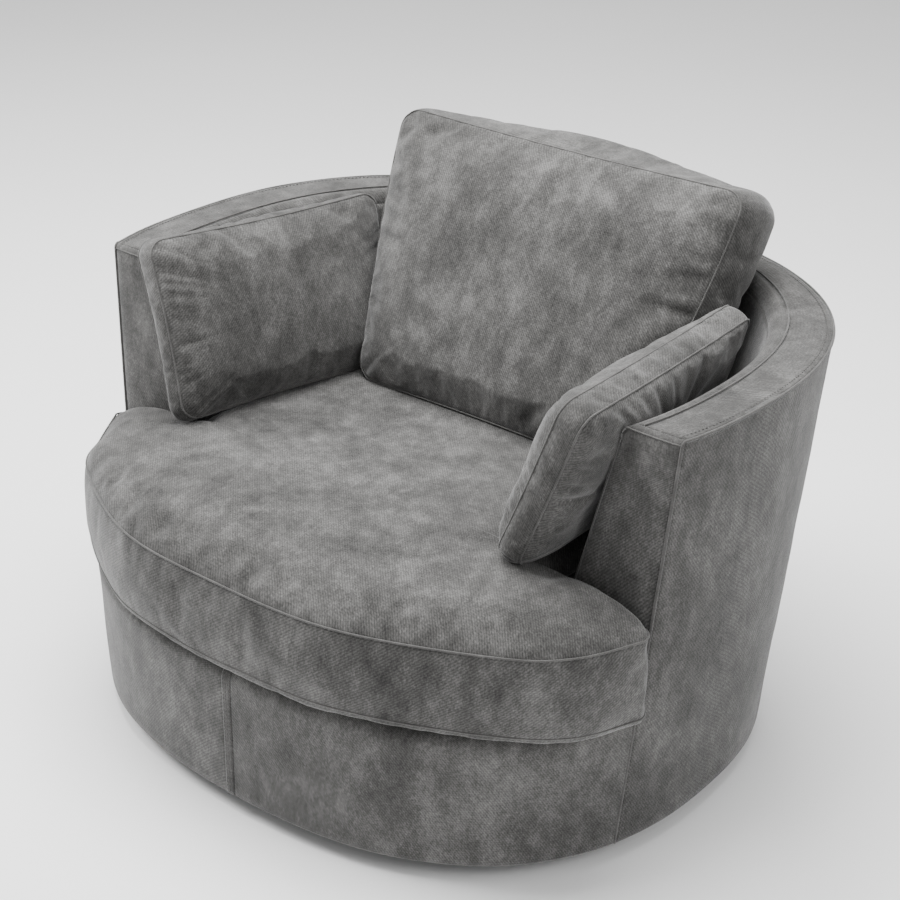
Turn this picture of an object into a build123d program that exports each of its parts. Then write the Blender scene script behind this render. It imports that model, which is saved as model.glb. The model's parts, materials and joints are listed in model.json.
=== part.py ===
from build123d import *
import os
from math import cos, pi, radians, sin, tan

# Swivel barrel armchair with loose cushions, in millimetres.
# It faces -Y, +Z is up, and the origin is on the floor on the swivel axis.

# Layers and clearances
cover = 2.0
layer_gap = 0.3
wall_gap = 0.8
cushion_gap = 0.8
board = 18.0
panel = 3.0

# Swivel and plinth
glide_height = 3.0
glide_radius = 14.0
glide_circle_radius = 280.0
glide_count = 6
plinth_radius = 320.0
plinth_thickness = 12.0
plate_side = 300.0
plate_corner_radius = 20.0
plate_thickness = 2.5
plate_gap = 9.0
race_radius = 110.0
ball_radius = 4.9
ball_count = 12
ball_clearance = 0.1
cage_width = 20.0
cage_thickness = 2.4
pivot_radius = 12.0
pivot_clearance = 0.05
pivot_flange_width = 10.0
pivot_flange_thickness = 2.0
bolt_spacing = 250.0
screw_radius = 2.25
screw_length = 12.0
screw_head_radius = 5.0
screw_head_height = 2.5
bolt_radius = 3.0
bolt_length = 18.0
bolt_head_radius = 6.0
bolt_head_height = 3.0
tee_nut_wall = 1.2
tee_nut_depth = 9.0
tee_nut_flange_radius = 10.0
tee_nut_flange_height = 1.5
hole_clearance = 0.1
access_hole_radius = 40.0

# Wall plan: squared rounds, given at the hem and at the rim
plan_power = 2.4
hem_half_width = 517.0
hem_front = 474.6
hem_rear = 412.0
hem_centre = -30.0
rim_half_width = 556.0
rim_front = 466.4
rim_rear = 487.4
rim_centre = 12.0
rim_height = 655.0
inner_rim_half_width = 466.0
inner_rim_front = 420.0
inner_rim_rear = 430.0
inner_deck_half_width = 375.0
inner_deck_front = 420.0
inner_deck_rear = 330.0

# Arm fronts: a plane that leans, given by its place at the rim
arm_front_at_rim = 161.5
arm_front_lean = 4.2
rim_band = 20.0
rim_roll = 16.0
shoulder_radius = 28.0

# Frame and springing
base_post_side = 45.0
base_post_length = 167.0
base_post_inset = 60.0
base_post_count = 8
post_depth = 32.0
post_width = 45.0
post_count = 7
post_sweep = 205.0
webbing_thickness = 1.5
webbing_width = 50.0
webbing_spacing = 95.0
webbing_count = 3
deck_lip = 36.0
spring_hole_half_width = 290.0
spring_hole_front = 300.0
spring_hole_rear = 210.0
spring_hole_corner = 90.0
spring_count = 5
spring_spacing = 105.0
spring_wire_radius = 1.9
spring_loop_radius = 18.0
spring_loops = 15
spring_tail = 16.0
clip_height = 6.5
clip_length = 12.0
clip_width = 12.0
spring_cloth_thickness = 1.0
deck_pad_thickness = 7.6
dust_cover_thickness = 1.0
dust_cover_inset = 12.0
dust_cover_window_gap = 5.0

# Seat cushion
seat_front = 479.0
seat_quarter_x = 205.0
seat_quarter_y = 463.0
seat_corner_x = 410.0
seat_corner_y = 378.0
seat_ear_x = 530.0
seat_ear_y = 222.0
seat_ear_bulge = 22.0
seat_ear_round = 16.0
seat_arm_gap = 5.0
seat_side_gap = 6.0
seat_foot = 8.7
seat_boxing = 128.0
seat_crown = 43.0
seat_crown_centre = 150.0

# Back cushion
back_lean = 29.7
back_bottom_y = 75.0
back_height = 430.0
back_top_half_width = 320.0
back_bottom_half_width = 245.0
back_top_taper = 24.0
back_bottom_taper = 52.0
back_boxing = 145.0
back_front_crown = 34.0
back_rear_crown = 16.0
back_corner = 26.0
back_boxing_bulge = 14.0

# Side cushions
side_length = 450.0
side_height = 275.0
side_boxing = 36.0
side_crown = 26.0
side_corner = 24.0
side_boxing_bulge = 3.0
side_x = 343.0
side_y = -3.0
side_lift = 169.5
side_yaw = 6.0
side_lean = 19.0
side_pitch = 3.0

# Crown of every cushion: share of the outline left at each share of the crown's rise
crown_steps = ((0.94, 0.38), (0.82, 0.70), (0.62, 1.0))

# Heights, from the floor up
plinth_top = glide_height + plinth_thickness
lower_plate_top = plinth_top + plate_thickness
upper_plate_bottom = lower_plate_top + plate_gap
board_bottom = upper_plate_bottom + plate_thickness
hem_height = board_bottom - cover
board_top = board_bottom + board
ring_bottom = board_top + base_post_length
ring_top = ring_bottom + board
ball_height = lower_plate_top + plate_gap / 2
clip_top = ring_top + clip_height
spring_cloth_bottom = clip_top + layer_gap
deck_pad_bottom = spring_cloth_bottom + spring_cloth_thickness + layer_gap
deck_cover_bottom = deck_pad_bottom + deck_pad_thickness + layer_gap
deck_height = deck_cover_bottom + cover
band_bottom = rim_height - rim_band
hoop_top = band_bottom - layer_gap
hoop_bottom = hoop_top - board
seat_bottom = deck_height + cushion_gap
seat_low_seam = seat_bottom + seat_foot
seat_high_seam = seat_low_seam + seat_boxing
seat_top = seat_high_seam + seat_crown
back_bottom = seat_top + cushion_gap
side_centre_height = seat_high_seam + side_lift

# Insets of the wall's layers from its outer face
panel_inset = cover + wall_gap
post_inset = panel_inset + panel + wall_gap
webbing_inset = post_inset + post_depth + wall_gap
padding_inset = webbing_inset + webbing_thickness + wall_gap
board_setback = cover + layer_gap
frame_setback = board_setback + board + layer_gap
reach = 2 * (rim_half_width + rim_rear)


def plan_point(half_width, front, rear, centre, angle):
    """Point of a squared round, with its widest place at y = centre."""
    power = 2 / plan_power
    across = cos(angle)
    along = sin(angle)
    depth = rear - centre if along > 0 else front + centre
    x = half_width * abs(across) ** power * (1 if across > 0 else -1)
    y = centre + depth * abs(along) ** power * (1 if along > 0 else -1)
    return x, y


def plan_face(half_width, front, rear, centre, z):
    """Level face with a squared round outline."""
    count = 28
    points = [plan_point(half_width, front, rear, centre, 2 * pi * k / count) for k in range(count)]
    return Pos(0, 0, z) * make_face(Spline(*points, periodic=True))


def between(low_value, high_value, low, high, z):
    """Value at height z on a straight line through two heights."""
    return low_value + (high_value - low_value) * (z - low) / (high - low)


def outer_sizes(inset, z):
    """Half width, front, rear and centre of the outer wall at height z."""
    half_width = between(hem_half_width, rim_half_width, hem_height, rim_height, z) - inset
    front = between(hem_front, rim_front, hem_height, rim_height, z) - inset
    rear = between(hem_rear, rim_rear, hem_height, rim_height, z) - inset
    centre = between(hem_centre, rim_centre, hem_height, rim_height, z)
    return half_width, front, rear, centre


def inner_sizes(outset, z):
    """Half width, front, rear and centre of the inner wall at height z."""
    half_width = between(inner_deck_half_width, inner_rim_half_width, deck_height, rim_height, z)
    front = between(inner_deck_front, inner_rim_front, deck_height, rim_height, z)
    rear = between(inner_deck_rear, inner_rim_rear, deck_height, rim_height, z)
    return half_width + outset, front + outset, rear + outset, 0


def outer_block(inset, low, high):
    """Solid inside the outer wall, between two heights."""
    faces = [plan_face(*outer_sizes(inset, z), z) for z in (low, high)]
    return loft(faces, ruled=True)


def inner_block(outset, low, high):
    """Solid that fills the inner wall, between two heights."""
    faces = [plan_face(*inner_sizes(outset, z), z) for z in (low, high)]
    return loft(faces, ruled=True)


def wall_ring(outer_inset, inner_outset, low, high):
    """Closed ring between the two walls."""
    return outer_block(outer_inset, low, high) - inner_block(inner_outset, low - board, high + board)


def outer_band(inset, thickness, low, high):
    """Closed ring that follows the outer wall."""
    return outer_block(inset, low, high) - outer_block(inset + thickness, low - board, high + board)


def arm_front_y(z):
    """Place of the arm fronts at height z."""
    return -arm_front_at_rim - (rim_height - z) * tan(radians(arm_front_lean))


def space_behind(setback):
    """Everything behind the arm front plane, moved back by a setback."""
    low = -board
    high = rim_height + board
    step = setback / cos(radians(arm_front_lean))
    points = [(arm_front_y(low) + step, low), (reach, low), (reach, high), (arm_front_y(high) + step, high)]
    return extrude(Plane.YZ * Polygon(*points, align=None), amount=reach, both=True)


def behind(shape, setback):
    """Part of a shape behind the arm front plane."""
    return shape & space_behind(setback)


def side_of(shape, sign):
    """Part of a shape on one side of the middle, clear of it by half a layer gap."""
    half = Pos(sign * (reach / 2 + layer_gap / 2), 0, 0) * Box(reach, 2 * reach, 2 * reach)
    return shape & half


def post_spots(inset, z, count, sweep):
    """Places spread round the rear of the outer wall, with the wall's own angle."""
    spots = []
    for k in range(count):
        angle = pi / 2 + radians(sweep) * (k / (count - 1) - 0.5)
        x, y = plan_point(*outer_sizes(inset, z), angle)
        spots.append((x, y, angle))
    return spots


def corners(spacing):
    """Four corners of a square pattern."""
    half = spacing / 2
    return [(-half, -half), (half, -half), (half, half), (-half, half)]


def at_corners(shape, spacing):
    """Copies of a shape at the four corners of a square pattern."""
    return [Pos(x, y, 0) * shape for x, y in corners(spacing)]


def rod(radius, low, high):
    """Upright cylinder between two heights."""
    return Pos(0, 0, low) * Cylinder(radius, high - low, align=(Align.CENTER, Align.CENTER, Align.MIN))


def round_places(radius, count):
    """Places on a circle round the swivel axis."""
    angles = [2 * pi * k / count for k in range(count)]
    return [(radius * cos(a), radius * sin(a)) for a in angles]


# Floor plinth

def make_plinth():
    plinth = rod(plinth_radius, glide_height, plinth_top)
    pilot = rod(screw_radius, plinth_top - screw_length + plate_thickness, plinth_top)
    return plinth - at_corners(pilot, bolt_spacing)


def make_floor_glides():
    glide = rod(glide_radius, 0, glide_height)
    places = [(0, 0)] + round_places(glide_circle_radius, glide_count)
    return Compound(children=[Pos(x, y, 0) * glide for x, y in places])


# Swivel

def plate_blank(bottom):
    blank = extrude(RectangleRounded(plate_side, plate_side, plate_corner_radius), plate_thickness)
    race = Pos(0, 0, ball_height) * Torus(race_radius, ball_radius + ball_clearance)
    return Pos(0, 0, bottom) * blank - race


def make_lower_plate():
    plate = plate_blank(plinth_top)
    plate -= rod(pivot_radius + pivot_clearance, plinth_top, lower_plate_top)
    return plate - at_corners(rod(screw_radius + hole_clearance, plinth_top, lower_plate_top), bolt_spacing)


def make_upper_plate():
    plate = plate_blank(upper_plate_bottom)
    plate -= rod(pivot_radius + pivot_clearance, upper_plate_bottom, board_bottom)
    return plate - at_corners(rod(bolt_radius + hole_clearance, upper_plate_bottom, board_bottom), bolt_spacing)


def make_lower_screws():
    shank_bottom = lower_plate_top - screw_length
    screw = rod(screw_radius, shank_bottom, lower_plate_top)
    screw += rod(screw_head_radius, lower_plate_top, lower_plate_top + screw_head_height)
    return Compound(children=at_corners(screw, bolt_spacing))


def make_pivot():
    flange_radius = pivot_radius + pivot_flange_width
    top_flange_bottom = board_bottom + pivot_clearance
    pivot = rod(pivot_radius, plinth_top, top_flange_bottom)
    pivot += rod(flange_radius, lower_plate_top, lower_plate_top + pivot_flange_thickness)
    pivot += rod(flange_radius, top_flange_bottom, top_flange_bottom + pivot_flange_thickness)
    return pivot


def make_ball_cage():
    low = ball_height - cage_thickness / 2
    high = ball_height + cage_thickness / 2
    cage = rod(race_radius + cage_width / 2, low, high) - rod(race_radius - cage_width / 2, low, high)
    pocket = rod(ball_radius + ball_clearance, low, high)
    return cage - [Pos(x, y, 0) * pocket for x, y in round_places(race_radius, ball_count)]


def make_balls():
    ball = Pos(0, 0, ball_height) * Sphere(ball_radius)
    return Compound(children=[Pos(x, y, 0) * ball for x, y in round_places(race_radius, ball_count)])


def make_bolts():
    bolt = rod(bolt_radius, upper_plate_bottom, upper_plate_bottom + bolt_length)
    bolt += rod(bolt_head_radius, upper_plate_bottom - bolt_head_height, upper_plate_bottom)
    return Compound(children=at_corners(bolt, bolt_spacing))


def make_tee_nuts():
    barrel_radius = bolt_radius + hole_clearance + tee_nut_wall
    flange_top = board_top + tee_nut_flange_height
    nut = rod(barrel_radius, board_top - tee_nut_depth, flange_top)
    nut += rod(tee_nut_flange_radius, board_top, flange_top)
    nut -= rod(bolt_radius + hole_clearance, board_bottom, flange_top)
    return Compound(children=at_corners(nut, bolt_spacing))


# Timber frame

def make_base_board():
    barrel_radius = bolt_radius + hole_clearance + tee_nut_wall + hole_clearance
    solid = outer_block(post_inset, board_bottom, board_top)
    solid -= rod(access_hole_radius, board_bottom, board_top)
    return solid - at_corners(rod(barrel_radius, board_bottom, board_top), bolt_spacing)


def make_dust_cover():
    low = board_bottom - dust_cover_thickness
    side = plate_side + 2 * dust_cover_window_gap
    window = extrude(RectangleRounded(side, side, plate_corner_radius), 2 * board)
    return outer_block(dust_cover_inset, low, board_bottom) - Pos(0, 0, low - board) * window


def make_base_posts():
    posts = []
    for k in range(base_post_count):
        angle = 2 * pi * (k + 0.5) / base_post_count
        x, y = plan_point(*outer_sizes(base_post_inset, board_top), angle)
        post = Box(base_post_side, base_post_side, base_post_length, align=(Align.CENTER, Align.CENTER, Align.MIN))
        posts.append(Pos(x, y, board_top) * Rot(0, 0, angle * 180 / pi) * post)
    return Compound(children=posts)


def make_seat_ring():
    depth = spring_hole_front + spring_hole_rear
    hole = RectangleRounded(2 * spring_hole_half_width, depth, spring_hole_corner)
    middle = (spring_hole_rear - spring_hole_front) / 2
    cut = Pos(0, middle, ring_bottom) * extrude(hole, board)
    return outer_block(post_inset, ring_bottom, ring_top) - cut


def make_wall_posts():
    middle = post_inset + post_depth / 2
    low_spots = post_spots(middle, ring_top, post_count, post_sweep)
    high_spots = post_spots(middle, hoop_bottom, post_count, post_sweep)
    posts = []
    for low_spot, high_spot in zip(low_spots, high_spots):
        faces = []
        for (x, y, angle), z in ((low_spot, ring_top), (high_spot, hoop_bottom)):
            place = Pos(x, y, z) * Rot(0, 0, angle * 180 / pi)
            faces.append(place * Rectangle(post_depth, post_width))
        posts.append(loft(faces, ruled=True))
    room = outer_band(post_inset, post_depth, ring_top, hoop_bottom)
    return Compound(children=[post & room for post in posts])


def make_top_hoop():
    return behind(outer_band(post_inset, post_depth, hoop_bottom, hoop_top), frame_setback)


def make_arm_boards():
    ring = wall_ring(post_inset, cover + wall_gap, ring_top, hoop_top)
    return behind(ring, board_setback) - space_behind(board_setback + board)


# Springing

def make_springs():
    pitch = 2 * spring_loop_radius
    start = (spring_hole_rear - spring_hole_front) / 2 - pitch * spring_loops / 2
    centre_height = ring_top + clip_height / 2
    springs = []
    for k in range(spring_count):
        x = spring_spacing * (k - (spring_count - 1) / 2)
        edges = [Line((x - spring_tail, start), (x, start))]
        for loop in range(spring_loops):
            side = spring_loop_radius if loop % 2 == 0 else -spring_loop_radius
            low = start + pitch * loop
            edges.append(ThreePointArc((x, low), (x + side, low + spring_loop_radius), (x, low + pitch)))
        end = start + pitch * spring_loops
        edges.append(Line((x, end), (x - spring_tail, end)))
        path = Pos(0, 0, centre_height) * Wire(edges)
        profile = Plane(path @ 0, z_dir=path % 0) * Circle(spring_wire_radius)
        springs.append(sweep(profile, path))
    return Compound(children=springs)


def make_clips():
    pitch = 2 * spring_loop_radius
    middle = (spring_hole_rear - spring_hole_front) / 2
    centre_height = ring_top + clip_height / 2
    bore = Rot(0, 90, 0) * Cylinder(spring_wire_radius + hole_clearance, 2 * clip_width)
    clip = Box(clip_width, clip_length, clip_height) - bore
    clips = []
    for k in range(spring_count):
        x = spring_spacing * (k - (spring_count - 1) / 2) - spring_tail / 2
        for side in (-1, 1):
            clips.append(Pos(x, middle + side * pitch * spring_loops / 2, centre_height) * clip)
    return Compound(children=clips)


def make_webbing():
    middle = (ring_top + hoop_bottom) / 2
    straps = []
    for k in range(webbing_count):
        low = middle + webbing_spacing * (k - (webbing_count - 1) / 2) - webbing_width / 2
        strap = outer_band(webbing_inset, webbing_thickness, low, low + webbing_width)
        straps.append(behind(strap, frame_setback))
    return Compound(children=straps)


# Deck under the seat cushion

def deck_sheet(lip, low, thickness):
    """Level sheet under the seat cushion, a lip inside the wall and the cushion's outline."""
    sheet = Pos(0, 0, low) * extrude(seat_outline(lip, 1), thickness)
    return sheet & outer_block(lip, low, low + thickness)


def make_spring_cloth():
    return deck_sheet(deck_lip, spring_cloth_bottom, spring_cloth_thickness)


def make_deck_pad():
    return deck_sheet(deck_lip, deck_pad_bottom, deck_pad_thickness)


def make_deck_cover():
    return deck_sheet(deck_lip, deck_cover_bottom, cover)


# Front of the base

def base_block(inset, low):
    """Solid inside the base, with its rounded shoulder."""
    block = outer_block(inset, low, deck_height - inset)
    top_edges = block.faces().sort_by(Axis.Z)[-1].edges()
    return fillet(top_edges, shoulder_radius - inset)


def deck_hole():
    """Room for the deck sheets inside the shoulder."""
    return deck_sheet(deck_lip - layer_gap, ring_top, board + shoulder_radius)


def make_front_skin():
    skin = base_block(0, hem_height) - base_block(cover, hem_height - board)
    return skin - deck_hole() - space_behind(-layer_gap)


def make_edge_roll():
    block = base_block(panel_inset, hem_height)
    top = block - Pos(0, 0, ring_top - reach) * Box(reach, reach, 2 * reach)
    return top - deck_hole() - space_behind(-layer_gap)


def make_front_panel():
    low = hem_height + cover
    band = outer_band(panel_inset, panel, low, ring_bottom)
    return band - space_behind(-layer_gap)


# Walls

def wall_block(inset, low):
    """Arms and back as one ring, with the rim's inner edge rounded."""
    block = wall_ring(panel_inset + inset, inset, low, rim_height - inset)
    top_edges = block.faces().sort_by(Axis.Z)[-1].edges()
    inner_edge = top_edges.sort_by(SortBy.LENGTH)[0]
    return fillet(inner_edge, rim_roll - inset)


def make_rim_cover():
    skin = wall_block(0, band_bottom) - wall_block(cover, band_bottom - board)
    return behind(skin, board_setback)


def make_rim_padding():
    return behind(wall_block(cover + wall_gap, band_bottom), board_setback)


def make_inner_cover():
    sheet = inner_block(cover, ring_top, hoop_top) - inner_block(0, ring_top - board, hoop_top + board)
    return behind(sheet, board_setback)


def make_wall_padding():
    return behind(wall_ring(padding_inset, cover + wall_gap, ring_top, hoop_top), frame_setback)


def make_outer_panel():
    return behind(outer_band(panel_inset, panel, hem_height + cover, hoop_top), board_setback)


def make_outer_cover():
    return behind(outer_band(0, cover, hem_height, rim_height), 0)


def make_arm_covers():
    block = wall_block(0, seat_bottom)
    return behind(block, 0) - space_behind(cover)


# Cushions

def inner_point(inset, angle):
    """Point of the inner wall at the deck, moved in by an inset."""
    return plan_point(*inner_sizes(-inset, deck_height), angle)


def seat_outline(inset, scale):
    """T-shaped outline of the seat, scaled about the crown's middle."""
    ear_back = -arm_front_y(deck_height) + seat_arm_gap + inset
    depth = inner_deck_front - seat_side_gap - inset
    half = inner_deck_half_width - seat_side_gap - inset
    waist_x = half * (1 - (ear_back / depth) ** plan_power) ** (1 / plan_power)
    waist_mid_x = half * (1 - (ear_back / 2 / depth) ** plan_power) ** (1 / plan_power)
    gap = seat_side_gap + inset
    diagonal = inset / 2 ** 0.5
    front = (0, -seat_front + inset)
    quarter = (seat_quarter_x - inset * 0.3, -seat_quarter_y + inset * 0.95)
    corner = (seat_corner_x - diagonal, -seat_corner_y + diagonal)
    tip = (seat_ear_x - inset, -seat_ear_y - inset * 0.3)
    chord_x = (corner[0] + tip[0]) / 2
    chord_y = (corner[1] + tip[1]) / 2
    bulge = (chord_x + seat_ear_bulge * 0.8, chord_y - seat_ear_bulge * 0.6)
    ear_end = (tip[0] - seat_ear_round, -ear_back)
    ear_mid = (tip[0] - seat_ear_round * 0.25, (tip[1] * 0.4 - ear_back * 0.6))
    waist = (waist_x, -ear_back)
    waist_mid = (waist_mid_x, -ear_back / 2)
    wide = inner_point(gap, 0)
    wide_mid = inner_point(gap, pi / 8)
    rear_corner = inner_point(gap, pi / 4)
    rear_mid = inner_point(gap, 3 * pi / 8)
    rear = inner_point(gap, pi / 2)
    right = [(front, quarter, corner), (corner, bulge, tip), (tip, ear_mid, ear_end)]
    right_rear = [(waist, waist_mid, wide), (wide, wide_mid, rear_corner), (rear_corner, rear_mid, rear)]

    def place(point, sign):
        return sign * point[0] * scale, -seat_crown_centre + (point[1] + seat_crown_centre) * scale

    edges = []
    for sign in (1, -1):
        for start, middle, end in right + right_rear:
            edges.append(ThreePointArc(place(start, sign), place(middle, sign), place(end, sign)))
        edges.append(Line(place(ear_end, sign), place(waist, sign)))
    return make_face(edges)


def seat_solid(inset):
    """Seat cushion, or its inside when inset."""
    low_seam = seat_low_seam
    high_seam = seat_high_seam
    full = seat_outline(inset, 1)
    foot = Pos(0, 0, seat_bottom + inset) * seat_outline(inset, 1 - seat_foot / seat_front * 2)
    parts = [loft([foot, Pos(0, 0, low_seam) * full], ruled=True)]
    parts.append(Pos(0, 0, low_seam) * extrude(full, seat_boxing))
    faces = [Pos(0, 0, high_seam) * full]
    for share, rise in crown_steps:
        faces.append(Pos(0, 0, high_seam + (seat_crown - inset) * rise) * seat_outline(inset, share))
    parts.append(loft(faces, ruled=True))
    return parts[0] + parts[1] + parts[2]


def four_sided(top_half, bottom_half, low, high, corner, scale):
    """Four-sided outline with rounded corners, scaled about its middle."""
    middle = (low + high) / 2
    points = [(-bottom_half, low), (bottom_half, low), (top_half, high), (-top_half, high)]
    scaled = [(x * scale, middle + (y - middle) * scale) for x, y in points]
    outline = Polygon(*scaled, align=None)
    return fillet(outline.vertices(), corner * scale)


def pillow(sections):
    """Loft through sections, each a distance along the thickness and a face."""
    return loft([Pos(0, 0, distance) * face for distance, face in sections], ruled=True)


def back_solid(inset):
    """Back cushion in its own frame: X across, Y up the face, Z out of the face."""
    slope = tan(radians(back_lean))

    def section(depth, scale, bulge):
        share = depth / back_boxing
        top_half = back_top_half_width - back_top_taper * share - inset + bulge
        bottom_half = back_bottom_half_width - back_bottom_taper * share - inset + bulge
        low = depth * slope + inset / cos(radians(back_lean))
        return four_sided(top_half, bottom_half, low, back_height - inset + bulge, back_corner, scale)

    sections = []
    for share, rise in reversed(crown_steps):
        sections.append(((back_front_crown - inset) * rise, section(0, share, 0)))
    sections.append((0, section(0, 1, 0)))
    sections.append((-back_boxing / 2, section(back_boxing / 2, 1, back_boxing_bulge)))
    sections.append((-back_boxing, section(back_boxing, 1, 0)))
    for share, rise in crown_steps:
        sections.append((-back_boxing - (back_rear_crown - inset) * rise, section(back_boxing, share, 0)))
    return pillow(sections)


def place_back(shape):
    lean = radians(back_lean)
    frame = Plane(origin=(0, back_bottom_y, back_bottom), x_dir=(1, 0, 0), z_dir=(0, -cos(lean), sin(lean)))
    return frame * shape


def side_solid(inset):
    """Side cushion in its own frame: X along, Y up, Z towards the arm."""
    half_length = side_length / 2 - inset
    half_height = side_height / 2 - inset

    def section(scale, bulge):
        return four_sided(half_length + bulge, half_length + bulge, -half_height, half_height + bulge,
                          side_corner, scale)

    half = side_boxing / 2
    sections = []
    for share, rise in reversed(crown_steps):
        sections.append((-half - (side_crown - inset) * rise, section(share, 0)))
    sections.append((-half, section(1, 0)))
    sections.append((0, section(1, side_boxing_bulge)))
    sections.append((half, section(1, 0)))
    for share, rise in crown_steps:
        sections.append((half + (side_crown - inset) * rise, section(share, 0)))
    return pillow(sections)


def place_side(shape, sign):
    turn = Rot(0, 0, side_yaw) * Rot(0, side_lean, 0) * Rot(-side_pitch, 0, 0)
    placed = Pos(side_x, side_y, side_centre_height) * turn * (Plane.YZ * shape)
    return placed if sign > 0 else mirror(placed, about=Plane.YZ)


def make_cover(make_solid):
    """Sewn cover of a cushion, as the skin between two of its solids."""
    return make_solid(0) - make_solid(cover)


def make_core(make_solid):
    """Core that fills a cushion's cover."""
    return make_solid(cover + layer_gap)


def save(shape, name):
    export_step(shape, f"parts/{name}.step")


os.makedirs("parts", exist_ok=True)

save(make_plinth(), "plinth")
save(make_floor_glides(), "floor_glides")
save(make_lower_plate(), "swivel_lower_plate")
save(make_lower_screws(), "lower_plate_screws")
save(make_pivot(), "swivel_pivot")
save(make_ball_cage(), "ball_cage")
save(make_balls(), "bearing_balls")
save(make_upper_plate(), "swivel_upper_plate")
save(make_bolts(), "upper_plate_bolts")
save(make_tee_nuts(), "tee_nuts")

save(make_base_board(), "base_board")
save(make_dust_cover(), "dust_cover")
save(make_base_posts(), "base_posts")
save(make_seat_ring(), "seat_ring")
save(make_wall_posts(), "wall_posts")
save(make_top_hoop(), "top_hoop")
save(make_arm_boards(), "arm_front_boards")
save(make_springs(), "seat_springs")
save(make_clips(), "spring_clips")
save(make_webbing(), "wall_webbing")
save(make_spring_cloth(), "spring_cloth")
save(make_deck_pad(), "deck_pad")
save(make_deck_cover(), "deck_cover")

front_skin = make_front_skin()
save(side_of(front_skin, -1), "front_cover_left")
save(side_of(front_skin, 1), "front_cover_right")
save(make_edge_roll(), "edge_roll")
save(make_front_panel(), "front_panel")
save(make_rim_cover(), "rim_cover")
save(make_rim_padding(), "rim_padding")
save(make_inner_cover(), "inner_cover")
save(make_wall_padding(), "wall_padding")
save(make_outer_panel(), "outer_panel")
save(make_outer_cover(), "outer_cover")
arm_covers = make_arm_covers()
save(side_of(arm_covers, -1), "arm_front_cover_left")
save(side_of(arm_covers, 1), "arm_front_cover_right")

save(make_cover(seat_solid), "seat_cushion_cover")
save(make_core(seat_solid), "seat_cushion_core")
save(place_back(make_cover(back_solid)), "back_cushion_cover")
save(place_back(make_core(back_solid)), "back_cushion_core")
side_cover = make_cover(side_solid)
side_core = make_core(side_solid)
save(place_side(side_cover, -1), "left_side_cushion_cover")
save(place_side(side_core, -1), "left_side_cushion_core")
save(place_side(side_cover, 1), "right_side_cushion_cover")
save(place_side(side_core, 1), "right_side_cushion_core")
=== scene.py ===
"""Swivel barrel armchair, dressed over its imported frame.

The tub's upholstery, the loose cushions, their seams and the stitching are built here,
in metres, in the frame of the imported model. The chair faces -Y and +Z is up.
"""
import json
import logging
import math
from dataclasses import dataclass
from enum import Enum
from typing import Callable, Sequence

import bmesh
import bpy
from mathutils import Matrix, Vector, noise


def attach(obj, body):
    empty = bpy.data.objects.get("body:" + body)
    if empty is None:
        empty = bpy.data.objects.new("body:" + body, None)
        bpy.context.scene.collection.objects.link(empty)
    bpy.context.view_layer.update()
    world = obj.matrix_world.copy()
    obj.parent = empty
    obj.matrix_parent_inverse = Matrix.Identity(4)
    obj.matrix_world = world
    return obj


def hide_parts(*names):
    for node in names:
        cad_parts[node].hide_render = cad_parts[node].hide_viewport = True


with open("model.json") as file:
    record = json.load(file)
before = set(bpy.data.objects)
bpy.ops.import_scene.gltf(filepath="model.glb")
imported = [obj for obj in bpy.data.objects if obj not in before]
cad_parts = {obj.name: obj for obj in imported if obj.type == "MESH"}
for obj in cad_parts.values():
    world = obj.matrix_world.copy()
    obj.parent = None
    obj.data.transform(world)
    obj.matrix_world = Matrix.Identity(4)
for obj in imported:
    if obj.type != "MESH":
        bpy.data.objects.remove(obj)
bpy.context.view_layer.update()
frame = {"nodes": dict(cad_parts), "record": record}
LOG = logging.getLogger("armchair")

Point = tuple[float, float]
Surface = Callable[[float, float], Vector]


class Side(Enum):
    """Side of the chair, seen from the front."""

    LEFT = -1
    RIGHT = 1


class Weave(Enum):
    """Weaves of the cloth finishes."""

    TWILL = "twill"
    PLAIN = "plain"


# Finishes


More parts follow.
